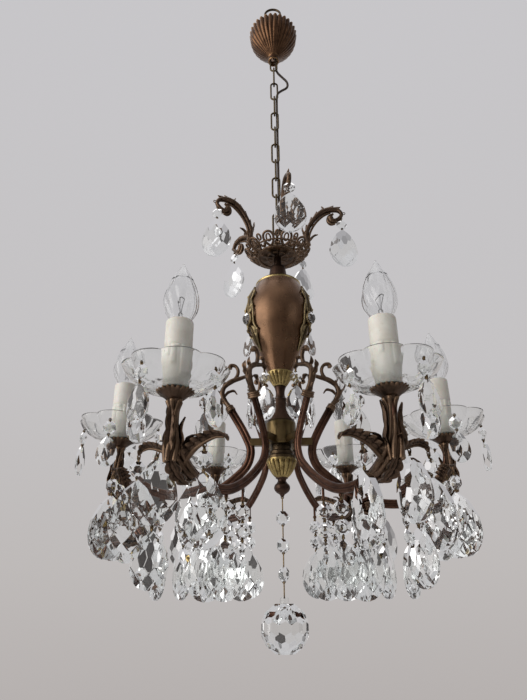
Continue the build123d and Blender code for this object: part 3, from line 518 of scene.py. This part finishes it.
# ---------------------------------------------------------------- canopy
def canopy_shell():
    """A bell of thirty ribs that open towards a ruffled rim."""
    low, rim, neck, r, wall, ribs = 682.0, 752.0, 7.8, 43.0, 1.2, 30
    top, stations = low + 12, 26
    line = [(neck, top), (neck + 7, top + 7), (r * 0.66, top + 22), (r * 0.9, top + 39), (r - wall, rim)]
    inner = flow(line, stations)
    outer = [(x + wall, z - 0.4 * (1 - k / (stations - 1))) for k, (x, z) in enumerate(inner)]

    def shape(x, z, t):
        share = min(max((z - top) / (rim - top), 0.0), 1.0)
        wave = abs(cos(ribs * t / 2)) - 1
        return x + wave * (0.25 + 2.4 * share) * min(1.0, (x - neck) / 3), z + wave * 2.6 * share ** 4

    bell = lathe([tuple(p) for p in inner] + outer[::-1], ribs * 10, shape, closed=True)
    collar = lathe([(neck, low), (neck + 1.2, low), (neck + 1.9, low + 1.2), (neck + 1.2, low + 2.4),
                    (neck + 1.2, top - 3), (neck + 2.2, top - 1.6), (neck + 1.4, top + 1.4),
                    (neck, top + 0.5)], 48, closed=True)
    return [bell, collar]


make("canopy_bell", canopy_shell(), canopy_bronze, "canopy", "canopy")


# ---------------------------------------------------------------- crown
def dish_height(r):
    """The height of the crown dish at a radius."""
    return float(np.interp(r, [4, 14, 28, 39, 47.5], [266.0, 266.0, 267.5, 272.5, 281.0]))


def on_dish(r, t, lift=0.0):
    return r * cos(t), r * sin(t), dish_height(r) + lift


def crown_bowl():
    """Openwork: a swirled boss, two hoops, ten tall loops and the little loops between them."""
    loops = 10
    under = [(4.2, 266.0), (9, 266.0), (15, 266.2), (21, 266.9), (27.5, 268.4)]
    over = [(27.5, 270.2), (21, 268.9), (15, 268.0), (9, 267.6), (4.2, 267.6)]
    boss = lathe(under + over, 120, lambda r, z, t: (r, z - 0.9 * max(sin(9 * t + r * 0.12), 0) ** 0.7 *
                                                     (1 if z < 267.5 and 8 < r < 26 else 0)), closed=True)
    parts = [boss]
    for r, wire in ((15.0, 1.3), (27.5, 1.9), (38.0, 1.3)):
        parts.append(tube([on_dish(r, 2 * pi * k / 72, 0.6) for k in range(72)], wire, 8, closed=True))
    for k in range(loops):
        middle = 2 * pi * k / loops
        loop = []
        for j in range(28):
            t = 2 * pi * j / 28
            r = 38.0 + 8.6 * cos(t)
            loop.append(on_dish(r, middle + 0.175 * sin(t) * (1 + 0.25 * cos(t)), 0.9))
        parts.append(tube(loop, 1.75, 8, closed=True))
        inner = [on_dish(40.0 + 4.2 * cos(2 * pi * j / 18), middle + 0.075 * sin(2 * pi * j / 18), 0.9)
                 for j in range(18)]
        parts.append(tube(inner, 1.2, 7, closed=True))
        between = middle + pi / loops
        small = [on_dish(43.6 + 3.0 * cos(2 * pi * j / 16), between + 0.06 * sin(2 * pi * j / 16), 0.9)
                 for j in range(16)]
        parts.append(tube(small, 1.4, 7, closed=True))
        for side in (1, -1):
            curl = []
            for j in range(15):
                u = j / 14
                spin = 0.6 + 4.4 * u
                reach = 3.6 * (1 - 0.72 * u)
                curl.append(on_dish(32.5 + reach * cos(spin), between + side * reach * sin(spin) / 34, 0.8))
            parts.append(tube(curl, [1.2, 1.1, 1.9], 7))
    return parts


make("crown_openwork", crown_bowl(), ornament, "frame", "crown_dish", crease=60)


def tufts(line, places, size, side):
    """Short leaf tips lying along a stem in the XZ plane, on one side of it."""
    stations = 60
    path = flow(line, stations)
    along = np.gradient(path, axis=0)
    along /= np.linalg.norm(along, axis=1)[:, None]
    parts = []
    for u in places:
        i = int(round(u * (stations - 1)))
        step, out = along[i], side * np.array([-along[i][1], along[i][0]])
        root, big = path[i] - step * size * 0.9, size * (1.0 - 0.25 * abs(2 * u - 1))
        points = [root, path[i] + out * big * 0.62, path[i] + step * big * 0.75 + out * big * 0.98,
                  path[i] + step * big * 1.05 + out * big * 1.32]
        parts.append(bar(points, [big * 0.42, big * 0.5, big * 0.34, big * 0.10], 8, 0.8, smooth=10))
    return parts


def crown_scroll():
    """A scroll rising from the dish, arching out and rolling under, crested with acanthus."""
    main = [(45, 283), (43, 302), (52, 323), (66, 338), (81, 342), (92, 338.5), (96.0, 331), (92, 324.8),
            (86.5, 321), (81, 322), (79.5, 327)]
    parts = [bar(main, [4.2, 3.5, 3.2, 3.6, 4.2, 4.4, 3.4, 2.6, 2.9, 4.0, 4.6], 14, 1.15, smooth=70),
             bar([(96, 330), (95.4, 327.4), (95, 324.6)], [1.6, 1.2, 1.0], 8),
             bar([(46.5, 285), (48, 302), (57, 320), (69, 332), (80, 336.5)], [2.0, 1.7, 1.6, 1.8, 1.3], 8,
                 smooth=30)]
    parts += tufts(main, (0.12, 0.2, 0.28, 0.36, 0.43, 0.5, 0.57), 5.4, 1)
    parts += tufts(main, (0.1, 0.24, 0.4), 4.2, -1)
    parts.append(bar([(84, 334), (77, 329), (76, 321), (80, 316), (85.5, 316)],
                     [1.6, 2.3, 2.6, 2.3, 1.5], 10, 1.2, smooth=24))
    for line, wide in (([(43, 300), (38, 309), (37.5, 317)], (6, 9, 3)),
                       ([(47, 291), (54, 299), (60, 300)], (6, 7, 2)),
                       ([(62, 336), (69, 345), (67.5, 350)], (6, 9, 3))):
        parts.append(leaf(line, wide, 2.4, 2, 0.12, 1, 12, 7))
    parts.append(torus((99.3, 0, 332.6), 1.9, 0.6, (0, 1, 0)))
    return parts


make("crown_scrollwork", around(crown_scroll(), CROWN_ARMS), ornament, "frame", "crown_scrolls",
     crease=60)

# ---------------------------------------------------------------- vase
SIDE = [(15.8, 86), (23.8, 105.7), (36.3, 135), (42.05, 150), (44.35, 166), (42.85, 184), (37.35, 203),
        (31, 217)]


def on_vase(z):
    """The vase's radius at a height."""
    return float(np.interp(z, [p[1] for p in SIDE], [p[0] for p in SIDE]))


vase_line = flow(SIDE, 60)
make("vase_shell", [lathe([tuple(p) for p in vase_line], 128)], vase_lacquer, "frame", "vase_body")


def vase_mount():
    """Leafwork lying down the vase with a bezel for its stone and a hook for its drop."""
    def ride(z, out):
        return on_vase(z) + out, z

    parts = [leaf([ride(207, 1.0), ride(190, 2.2), ride(170, 2.4), ride(163, 2.2)], (3, 13, 15, 7), 2.4, 4,
                  0.12, 3, 30, 11),
             leaf([ride(147, 2.2), ride(136, 2.6), ride(124, 2.4), ride(112, 1.2)], (7, 15, 9, 2), 2.4, 3,
                  0.12, 3, 26, 11)]
    r, z = ride(155, 4.4)
    parts.append(torus((r, 0, z), 7.6, 1.3, (1, 0, -0.14), 32, 8))
    parts.append(torus((r - 1.6, 0, z), 6.4, 1.6, (1, 0, -0.14), 32, 8))
    for side in (1, -1):
        wave = ((203, 1), (194, 8), (183, 5), (172, 9), (160, 10.5), (147, 8), (138, 9.5), (128, 4),
                (114, 0.6))
        line = [(on_vase(q) + 1.6, side * y, q) for q, y in wave]
        parts.append(tube(line, [0.7, 1.5, 1.0, 1.6, 1.1, 1.7, 1.1, 1.5, 0.7], 8, smooth=60))
        for q, y in ((194, 8), (172, 9), (138, 9.5)):
            ball = (on_vase(q) + 2.2, side * (y + 1.0), q)
            parts.append(tube([ball, (ball[0] + 0.9, ball[1], ball[2] - 0.4)], [1.9, 1.4], 8))
    parts.append(bar([ride(146, 2.5), (on_vase(144) + 6, 144.5), (47, 141), (47.2, 139.2)],
                     [1.6, 1.3, 1.1, 0.8], 8, smooth=16))
    return parts


make("vase_leafwork", around(vase_mount(), VASE_MOUNTS), highlit_rubbed_gold, "frame", "vase_mounts",
     crease=60)


# ---------------------------------------------------------------- fluted cups, finial
def gadrooned(profile, count, depth, low, high):
    """A cup with rounded flutes between two heights, plain at its edges."""
    def shape(r, z, t):
        window = min(1.0, max(0.0, (z - low) / 2.0), max(0.0, (high - z) / 1.5))
        return r + depth * (abs(cos(count * t / 2)) ** 0.8 - 1) * window, z
    return lathe([tuple(p) for p in flow(profile, 30)], count * 10, shape)


upper_cup = gadrooned([(7.8, 67.9), (9.4, 70), (12.6, 75), (16.2, 80.5), (17.6, 84), (17.4, 86)],
                      16, 1.5, 68.5, 85.4)
lower_bowl = gadrooned([(7.2, -48), (10.4, -45), (14.4, -39), (17.4, -32.5), (18.4, -28.5), (18.2, -26.5)],
                       16, 1.6, -47.2, -27.6)
make("gadrooned_cups", [upper_cup, lower_bowl], gilt, "frame", "fluted_cups", crease=70)
finial_line = flow([(7.15, -48), (5.6, -49.2), (5.0, -51.5), (6.2, -54), (8.9, -57), (9.5, -60.2),
                    (8.2, -63.6), (5.6, -65.9), (3.2, -67.4), (2.3, -69), (1.6, -70)], 44)
finial = lathe([tuple(p) for p in finial_line], 56)
make("finial_ball", [finial, torus((0, 0, -48.3), 6.6, 0.8, (0, 0, 1), 40)], column_bronze, "frame", "finial",
     crease=60)


# ---------------------------------------------------------------- arms
def arm_scroll():
    """Collar, S-shaped stem that rolls in over its drop, a finger above and two leaves."""
    base, along = np.array([62.0, 36.0]), np.array([16.0, 27.0]) / hypot(16, 27)
    across = np.array([along[1], -along[0]])
    parts = []
    for reach, out, wire in ((0.6, 6.4, 1.4), (3.0, 5.6, 1.7), (5.4, 6.2, 1.2)):
        centre = base + along * reach
        ring = []
        for k in range(28):
            t = 2 * pi * k / 28
            spot = centre + across * out * 0.72 * cos(t)
            ring.append((spot[0], out * 1.12 * sin(t), spot[1]))
        parts.append(tube(ring, wire, 8, closed=True))
    block = [base + along * 0.2, base + along * 3, base + along * 6]
    stem = [(64, 40), (70, 49), (74.6, 59), (71.5, 69), (62.5, 76.5)]
    parts.append(bar(block, [6.0, 5.6, 4.4], 20, 1.15))
    parts.append(bar(stem + [(52, 80.2), (42, 83.2), (36.8, 82)],
                     [3.6, 3.0, 3.8, 2.8, 3.4, 2.8, 2.2, 2.6], 12, 1.25, smooth=50))
    parts.append(bar([(61, 76), (55.5, 84), (54.6, 92), (58.5, 98), (64, 98.4), (65.6, 94.6)],
                     [2.6, 2.4, 2.3, 2.2, 2.6, 3.4], 10, 1.2, smooth=34))
    parts.append(bar([(46, 81.5), (41.5, 86), (42.5, 91.5), (47.5, 91)], [2.0, 1.8, 1.7, 2.5], 10, 1.2,
                     smooth=20))
    parts += tufts(stem, (0.22, 0.5, 0.78), 4.4, -1)
    parts.append(leaf([(72.5, 54), (66, 61), (59, 62.5), (55.5, 58.5)], (5, 9, 8, 4), 2.2, 2, 0.15, 1, 18, 7))
    parts.append(leaf([(74, 58), (80, 63), (83.5, 70), (81.5, 75)], (5, 8, 7, 2), 2.0, 2, 0.15, 1, 18, 7))
    parts.append(leaf([(70, 71), (74, 77), (73, 83)], (5, 6, 2), 1.8, 1, 0.15, 1, 12, 7))
    parts.append(torus((38.5, 0, 79.7), 1.9, 0.6, (0, 1, 0)))
    return parts


make("arm_scrollwork", around(arm_scroll(), ARMS), ornament, "frame", "arm_scrolls", crease=60)

# Where each arm's strings hang along its leaves, and where the inner strings hang along every arm.
STRINGS = [(-27, 28, 52), (-52, -27, 30), (27, -28, -52), (-27, 28, 52), (-30, 27, 52), (-52, -28, 27)]
INNER_HOOKS = (84, 114, 142)


def arm_casting(along_places):
    """The branching casting at an arm's end: stems under the pan, a root, two acanthus leaves."""
    parts = []
    for k in range(5):
        t = 2 * pi * k / 5
        line = []
        for z, out, turn in ((-66, 5.4, 0.0), (-54, 5.8, 0.3), (-42, 3.9, 0.75), (-30, 3.1, 1.1),
                             (-18, 3.4, 1.45), (-9.4, 6.2, 1.6)):
            line.append((ARM_CIRCLE + out * cos(t + turn), out * sin(t + turn), z))
        parts.append(tube(line, [2.2, 2.9, 2.3, 2.0, 2.3, 2.7], 8, smooth=24))
    core = [(3.6, -66), (5.6, -58), (5.4, -48), (3.7, -38), (3.2, -26), (3.9, -15), (7.4, -9.1)]
    parts.append(moved(lathe(core, 24), x=ARM_CIRCLE))
    for turn, top in ((20, -16), (140, -24), (255, -12)):
        hug = leaf([(5.2, -58), (7.6, -48), (6.2, -36), (6.6, top - 8), (10.5, top)], (6, 10, 7, 8, 3),
                   1.8, 4, 0.3, 3, 26, 9)
        parts.append(moved(turned(hug, turn), x=ARM_CIRCLE))
    for dy, wide in ((-4.6, 3.0), (0.0, 4.4), (4.6, 3.0)):
        root = [(168, dy * 0.75, -73.5), (179, dy * 1.15, -69), (190, dy * 1.2, -60), (197, dy, -48),
                (200, dy * 0.7, -36)]
        parts.append(tube(root, [wide, wide * 1.15, wide, wide * 0.8, wide * 0.4], 10, smooth=24))
    parts.append(bar([(169, -76), (181, -73), (192, -65), (199, -56)], [4.2, 4.6, 4.4, 3.2], 14, 1.4,
                     smooth=20))
    parts.append(leaf([(166, -79.5), (178, -79.5), (190, -73), (200, -61), (205, -50)],
                      (7, 16, 21, 15, 3), 2.4, 6, 0.2, 4, 60, 17))
    for side in (1, -1):
        blade = leaf([(2, -66), (9, -58), (18, -51), (29, -46.5), (40, -44.4), (48.5, -46.4), (52.6, -51.6)],
                     (8, 15, 20, 21, 18, 12, 3), 2.6, 9, -0.16, 4, 84, 19)
        parts.append(moved(turned(blade, 90 * side), x=LEAF_CIRCLE))
        rib = bar([(2, -67), (9, -60.2), (18, -53.4), (29, -48.9), (40, -46.6), (48, -48.0)],
                  [3.2, 2.8, 2.2, 1.7, 1.3, 0.8], 8, smooth=30)
        parts.append(moved(turned(rib, 90 * side), x=LEAF_CIRCLE))
        small = leaf([(4, -60), (9, -50), (15, -44), (21, -43)], (6, 10, 9, 2), 2.0, 4, 0.1, 3, 30, 11)
        parts.append(moved(turned(small, 90 * side), x=LEAF_CIRCLE + 6))
    outer = leaf([(2, -64), (10, -55), (15, -47), (21, -45)], (8, 13, 10, 2), 2.2, 4, 0.1, 3, 26, 11)
    parts.append(moved(outer, x=LEAF_CIRCLE + 2))
    for s in along_places:
        parts.append(torus((LEAF_CIRCLE, s, -52.4), 1.9, 0.6, (1, 0, 0)))
        parts.append(tube([(LEAF_CIRCLE, s, -50.8), (LEAF_CIRCLE, s * 0.985, -48.4)], 1.1, 8))
    parts += [torus((r, 0, -84.6), 1.9, 0.6, (1, 0, 0)) for r in INNER_HOOKS]
    return parts


castings = [part for azimuth, places in zip(ARMS, STRINGS)
            for part in around(arm_casting(places), [azimuth])]
make("arm_acanthus", castings, ornament, "frame", "arm_leaves", crease=60)


# ---------------------------------------------------------------- candles
def drip_pan():
    """A shallow pan whose rim is pressed into petals."""
    petals = 22
    profile = [(5.3, -9.0), (7.4, -9.0), (9.2, -7.6), (12, -5.2), (15.4, -2.9), (18.5, -0.4), (18.3, 0.3),
               (15.4, -1.3), (12, -3.9), (9, -6.2), (5.3, -7.6)]

    def shape(r, z, t):
        share = max(0.0, (r - 9) / 9.5)
        wave = abs(cos(petals * t / 2)) - 1
        return r + wave * 2.6 * share, z + wave * 1.5 * share + 0.5 * share * sin(5 * t)

    return lathe(profile, petals * 8, shape, closed=True)


washer = lathe([(5.4, 2.6), (13.4, 2.6), (14.0, 3.0), (13.6, 4.0), (5.4, 4.0)], 48,
               lambda r, z, t: (r, z + (0.35 * sin(3 * t) if r > 13.5 else 0)), closed=True)
make("bobeche_washers", around([washer], ARMS, ARM_CIRCLE), washer_grey, "frame", None)
make("pan_petals", around([drip_pan()], ARMS, ARM_CIRCLE), ornament, "frame", "drip_pans",
     crease=70)


def glass_dish():
    """Eight lobes parted by ribs, with a rounded rim."""
    lobes = 8
    outside = flow([(5.3, 0.3), (15, 0.3), (24, 0.9), (30.2, 2.4), (36, 5.3), (41.6, 9), (46, 13),
                    (49.2, 17.6), (51.4, 22.2)], 34)
    inside = flow([(50.3, 23.0), (47.6, 18.6), (44.4, 14.6), (39.7, 10.8), (34.3, 7.4), (28.7, 4.6),
                   (22, 3.2), (14.3, 2.5), (5.3, 2.5)], 34)
    rim = [(51.7, 23.0), (51.5, 23.45), (50.9, 23.5)]

    def shape(r, z, t):
        spot = (t * lobes / (2 * pi) + 0.5) % 1.0 - 0.5
        share = max(0.0, (r - 15) / 37)
        valley = 5.5 * share ** 1.25 * (2 * abs(spot)) ** 2
        rib = 0.5 * share * max(0.0, 1 - abs(abs(spot) - 0.5) / 0.05)
        return r - valley, z - rib

    profile = [tuple(p) for p in outside] + rim + [tuple(p) for p in inside]
    return lathe(profile, 256, shape, closed=True)


make("dish_lobes", around([glass_dish()], ARMS, ARM_CIRCLE), dish_glass, "frame", "bobeches",
     crease=50)


def wax_sleeve(seed):
    """A candle sleeve with a thicker upper part and wax run down its side."""
    dice = random.Random(seed)
    runs = [(dice.uniform(0, 2 * pi), dice.uniform(0.16, 0.3), dice.uniform(14, 44)) for _ in range(11)]
    outer = [(12.8, 4.0)] + [(12.8, z) for z in np.linspace(5.5, 43.0, 26)]
    outer += [(13.0, 44), (13.5, 45), (13.7, 46.5)] + [(13.7, z) for z in (50, 55, 60, 65, 69, 71)]
    outer += [(13.4, 72.4), (12.8, 73), (11.9, 73), (11.3, 72.4), (11.3, 40), (11.3, 4.0)]

    def shape(r, z, t):
        if r < 12 or z >= 44:
            return r, z
        swell = 0.0
        for place, width, end in runs:
            gap = abs((t - place + pi) % (2 * pi) - pi) / width
            if z > end and gap < 1:
                swell = max(swell, 0.95 * (1 - gap ** 2) ** 0.5)
            elif gap < 1 and z > end - 2.6:
                swell = max(swell, 1.25 * (1 - gap ** 2) ** 0.5 * max(0.0, 1 - ((end - z) / 2.6) ** 2) ** 0.5)
        return r + swell * 0.95, z

    return lathe(outer, 120, shape, closed=True)


sleeves = [part for k, azimuth in enumerate(ARMS)
           for part in around([wax_sleeve(k + WAX_SEED)], [azimuth], ARM_CIRCLE)]
make("wax_sleeves", sleeves, candle, "frame", "candle_sleeves", crease=50)


def bulb_shell():
    """A twisted flame-shaped envelope, blown thin."""
    side = flow([(6.3, 59), (7.4, 66), (9.8, 73), (16.1, 86), (17.4, 95), (15.9, 107), (10.6, 122),
                 (4.4, 134), (1.2, 140.5), (0.15, 142)], 70)
    inner = [(max(r - 0.7, 0.05), z - (0.0 if z < 120 else 0.6)) for r, z in side]

    def shape(r, z, t):
        share = min(1.0, max(0.0, (z - 70) / 14)) * min(1.0, max(0.0, (140 - z) / 16))
        return r * (1 + 0.052 * share * (abs(sin(4 * t + (z - 70) * 0.075)) * 2 - 1.2)), z

    return lathe([tuple(p) for p in side] + [tuple(p) for p in inner[::-1]], 128, shape, closed=True)


def bulb_inside():
    """Glass stem, support wires and the filament."""
    stem = lathe([(4.8, 59.5), (4.0, 66), (2.6, 74), (2.2, 80), (2.6, 82), (1.4, 83.6), (0.05, 84)], 20)
    wires = [tube([(side * 1.4, 0, 80), (side * 2.2, 0, 88), (side * 6.2, 0, 97)], 0.32, 6, smooth=10)
             for side in (1, -1)]
    wires.append(tube([(0, 0, 83), (0, 0.6, 93), (0, 1.6, 101)], 0.25, 6, smooth=8))
    coil, stations, turns = [], 110, 26
    for k in range(stations):
        u = k / (stations - 1)
        spin, arch = u * 2 * pi * turns, sin(pi * u)
        coil.append((-6.2 + 12.4 * u, 0.5 * sin(spin) + 1.6 * arch, 97 + 4 * arch + 0.5 * cos(spin)))
    return stem, wires + [tube(coil, 0.16, 5)]


tungsten = aged_metal("tungsten", (0.10, 0.10, 0.10), (0.22, 0.21, 0.2), (0.4, 0.4, 0.4), scale=300)
cap_metal = aged_metal("bulb_cap", (0.35, 0.3, 0.2), (0.55, 0.5, 0.38), (0.7, 0.66, 0.55), scale=200)
for k, azimuth in enumerate(ARMS):
    body = f"bulb_{k + 1}"
    flame = turned(bulb_shell(), BULB_TURN * k)
    stem, wires = bulb_inside()
    make(f"flame_{k + 1}", around([flame], [azimuth], ARM_CIRCLE), bulb_glass, body, body,
         crease=60)
    make(f"stem_{k + 1}", around([stem], [azimuth], ARM_CIRCLE), bulb_glass, body, None)
    wires = [turned(wire, FILAMENT_TURN * k) for wire in wires]
    make(f"filament_{k + 1}", around(wires, [azimuth], ARM_CIRCLE), tungsten, body, None)
    cap = lathe([(0.05, 34), (4, 34), (6.2, 36.5)] + [(6.5 + 0.3 * (i % 2), 37.5 + i) for i in range(18)]
                + [(6.6, 57), (6.4, 59), (5.8, 60), (0.05, 60)], 40)
    make(f"cap_{k + 1}", around([cap], [azimuth], ARM_CIRCLE), cap_metal, body, None)


# ---------------------------------------------------------------- wires of the drops
def islands(thing):
    """Vertex places of each separate solid of a CAD node, in millimetres."""
    mesh = thing.data
    co = np.empty(len(mesh.vertices) * 3)
    mesh.vertices.foreach_get("co", co)
    co = co.reshape(-1, 3) * 1000
    _, same = np.unique(np.round(co, 2), axis=0, return_inverse=True)
    same = same.ravel()
    root = list(range(same.max() + 1))

    def find(i):
        while root[i] != i:
            root[i] = root[root[i]]
            i = root[i]
        return i

    for polygon in mesh.polygons:
        first = find(same[polygon.vertices[0]])
        for v in polygon.vertices[1:]:
            root[find(same[v])] = first
    groups = {}
    for i, s in enumerate(same):
        groups.setdefault(find(s), []).append(i)
    return [co[g] for g in groups.values()]


# A drop node's solids are crystals and the thin pins between them: each pin gets its wire and two rings.
PIN_WIDTH = 1.6
for name in drops:
    parts = []
    for cloud in islands(nodes[name]):
        low, high = cloud.min(0), cloud.max(0)
        if high[0] - low[0] > PIN_WIDTH or high[1] - low[1] > PIN_WIDTH:
            continue
        x, y = (low[0] + high[0]) / 2, (low[1] + high[1]) / 2
        parts.append(tube([(x, y, low[2] - 0.5), (x, y, high[2] + 0.3)], 0.72, 8))
        heading = atan2(y, x)
        across, outward = (-sin(heading), cos(heading), 0), (cos(heading), sin(heading), 0)
        parts.append(torus((x, y, high[2] - 0.2), 1.5, 0.5, across))
        parts.append(torus((x, y, low[2] + 0.8), 1.4, 0.5, outward))
    if parts:
        make(f"wires_{name}", parts, dark_brass, body_of(nodes[name])[0], None, lift=0.0)


# ---------------------------------------------------------------- stage, light, camera
def plain(name, colour):
    """Matt paint, very slightly clouded."""
    recipe = Recipe(name)
    paler = tuple(c * 1.03 for c in colour)
    recipe.link(recipe.ramp(recipe.noise(1.5, 2.0), (0.3, colour), (0.7, paler)), "Base Color")
    recipe.set(Roughness=0.9)
    return recipe.material


def panel(name, place, aim, size, colour):
    """A card outside the picture that the glass and metal mirror."""
    mesh = bpy.data.meshes.new(name)
    w, h = size[0] / 2, size[1] / 2
    mesh.from_pydata([(-w, -h, 0), (w, -h, 0), (w, h, 0), (-w, h, 0)], [], [(0, 1, 2, 3)])
    card = add_object(name, mesh)
    card.location = place
    card.rotation_euler = (Vector(aim) - Vector(place)).to_track_quat("Z", "Y").to_euler()
    card.data.materials.append(plain(name + "_paint", colour))
    card.visible_camera = False
    card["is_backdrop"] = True


centre = Vector((0, 0, -0.78))
disc = bpy.data.meshes.new("floor")
ring = [(FLOOR_RADIUS * cos(2 * pi * k / FLOOR_SIDES), FLOOR_RADIUS * sin(2 * pi * k / FLOOR_SIDES),
         FLOOR_LEVEL) for k in range(FLOOR_SIDES)]
disc.from_pydata(ring, [], [tuple(range(FLOOR_SIDES))])
floor = add_object("floor", disc)
floor.data.materials.append(plain("floor_paint", (0.62, 0.615, 0.62)))
floor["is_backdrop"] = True

for k in range(CARDS):
    t = 2 * pi * (k + 0.3) / CARDS
    spot = (CARD_CIRCLE * sin(t), CARD_CIRCLE * cos(t), -0.6 + 0.35 * cos(5 * t))
    panel(f"card_{k}", spot, centre, (0.16 + 0.07 * cos(4 * t), 1.1 + 0.5 * sin(3 * t)), CARD_COLOUR)


def lamp(name, place, size, power, colour):
    """A soft lamp aimed at the chandelier, which the glass doesn't show as a white card."""
    light = bpy.data.lights.new(name, "AREA")
    light.shape = "RECTANGLE"
    light.size, light.size_y = size
    light.energy = power
    light.color = colour
    thing = add_object(name, light)
    thing.location = place
    thing.rotation_euler = (centre - Vector(place)).to_track_quat("-Z", "Y").to_euler()
    thing.visible_transmission = False


lamp("window", (-1.9, -1.0, -0.3), (1.7, 2.3), 17, (1.0, 0.97, 0.93))
lamp("fill", (1.8, -1.6, -0.3), (1.2, 1.6), 3, (0.93, 0.96, 1.0))
lamp("top", (-0.4, 0.3, 1.2), (1.8, 1.6), 7, (1.0, 0.98, 0.96))

world = bpy.data.worlds.new("room")
bpy.context.scene.world = world
world.use_nodes = True
tree = world.node_tree
background = tree.nodes["Background"]


def world_ramp(value, *stops):
    return colour_ramp(tree, value, stops)


def towards(direction):
    """How nearly the world's direction is the given one, from -1 to 1."""
    node = tree.nodes.new("ShaderNodeVectorMath")
    node.operation = "DOT_PRODUCT"
    node.inputs[1].default_value = Vector(direction).normalized()
    tree.links.new(sky, node.inputs[0])
    return node.outputs["Value"]


def blend(mode, first, second):
    """Two colours of the world, multiplied, added or mixed."""
    node = tree.nodes.new("ShaderNodeMix")
    node.data_type, node.blend_type = "RGBA", mode
    node.inputs[0].default_value = 1.0
    tree.links.new(first, node.inputs[6])
    tree.links.new(second, node.inputs[7])
    return node.outputs[2]


# The camera sees a plain pale wall. Metal and glass mirror a room that is darker on one side, with a window
# on the left, and through the glass 45% of the window's light is seen.
sky = tree.nodes.new("ShaderNodeTexCoord").outputs["Generated"]
half = tree.nodes.new("ShaderNodeMath")
half.operation = "MULTIPLY_ADD"
half.inputs[1].default_value, half.inputs[2].default_value = 0.5, 0.5
tree.links.new(towards((0, 0, 1)), half.inputs[0])
upper = ((0.41, (0.46, 0.43, 0.42)), (0.52, (0.515, 0.49, 0.482)), (0.68, (0.555, 0.54, 0.548)),
         (0.92, (0.575, 0.566, 0.585)), (1.0, (0.60, 0.59, 0.60)))
wall = world_ramp(half.outputs[0], (0.0, (0.44, 0.42, 0.41)), *upper)
room = world_ramp(half.outputs[0], (0.0, grey(0.20)), (0.36, (0.30, 0.28, 0.27)), *upper)
window = world_ramp(towards((-0.86, -0.46, 0.12)), (0.74, grey(0.0)), (0.88, grey(0.7)), (0.97, grey(1.3)))
shade = world_ramp(towards((0.75, -0.62, 0.0)), (0.2, grey(1.0)), (0.75, grey(0.42)), (1.0, grey(0.26)))
rays = tree.nodes.new("ShaderNodeLightPath").outputs
base = blend("MULTIPLY", room, shade)
lit = blend("ADD", base, window)
glimpse = blend("MIX", lit, base)
glimpse.node.inputs[0].default_value = 0.55
past_glass = blend("MIX", lit, glimpse)
tree.links.new(rays["Is Transmission Ray"], past_glass.node.inputs[0])
seen = blend("MIX", past_glass, wall)
tree.links.new(rays["Is Camera Ray"], seen.node.inputs[0])
tree.links.new(seen, background.inputs["Color"])
background.inputs["Strength"].default_value = 1.0

camera = bpy.data.cameras.new("camera")
eye = add_object("camera", camera)
pitch, yaw, roll = CAMERA_PITCH, CAMERA_YAW, CAMERA_ROLL
forward = Vector((sin(yaw) * cos(pitch), cos(yaw) * cos(pitch), sin(pitch)))
right = Vector((cos(yaw), -sin(yaw), 0))
up = right.cross(forward)
right, up = cos(roll) * right + sin(roll) * up, -sin(roll) * right + cos(roll) * up
turn = Matrix((right, up, -forward)).transposed().to_4x4()
eye.matrix_world = Matrix.Translation(CAMERA_PLACE) @ turn
camera.sensor_width = SENSOR
camera.lens = FOCAL_PIXELS * SENSOR / PICTURE_HEIGHT
camera.clip_start = 0.01
bpy.context.scene.camera = eye
bpy.context.scene.view_settings.view_transform = "Standard"

low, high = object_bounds()
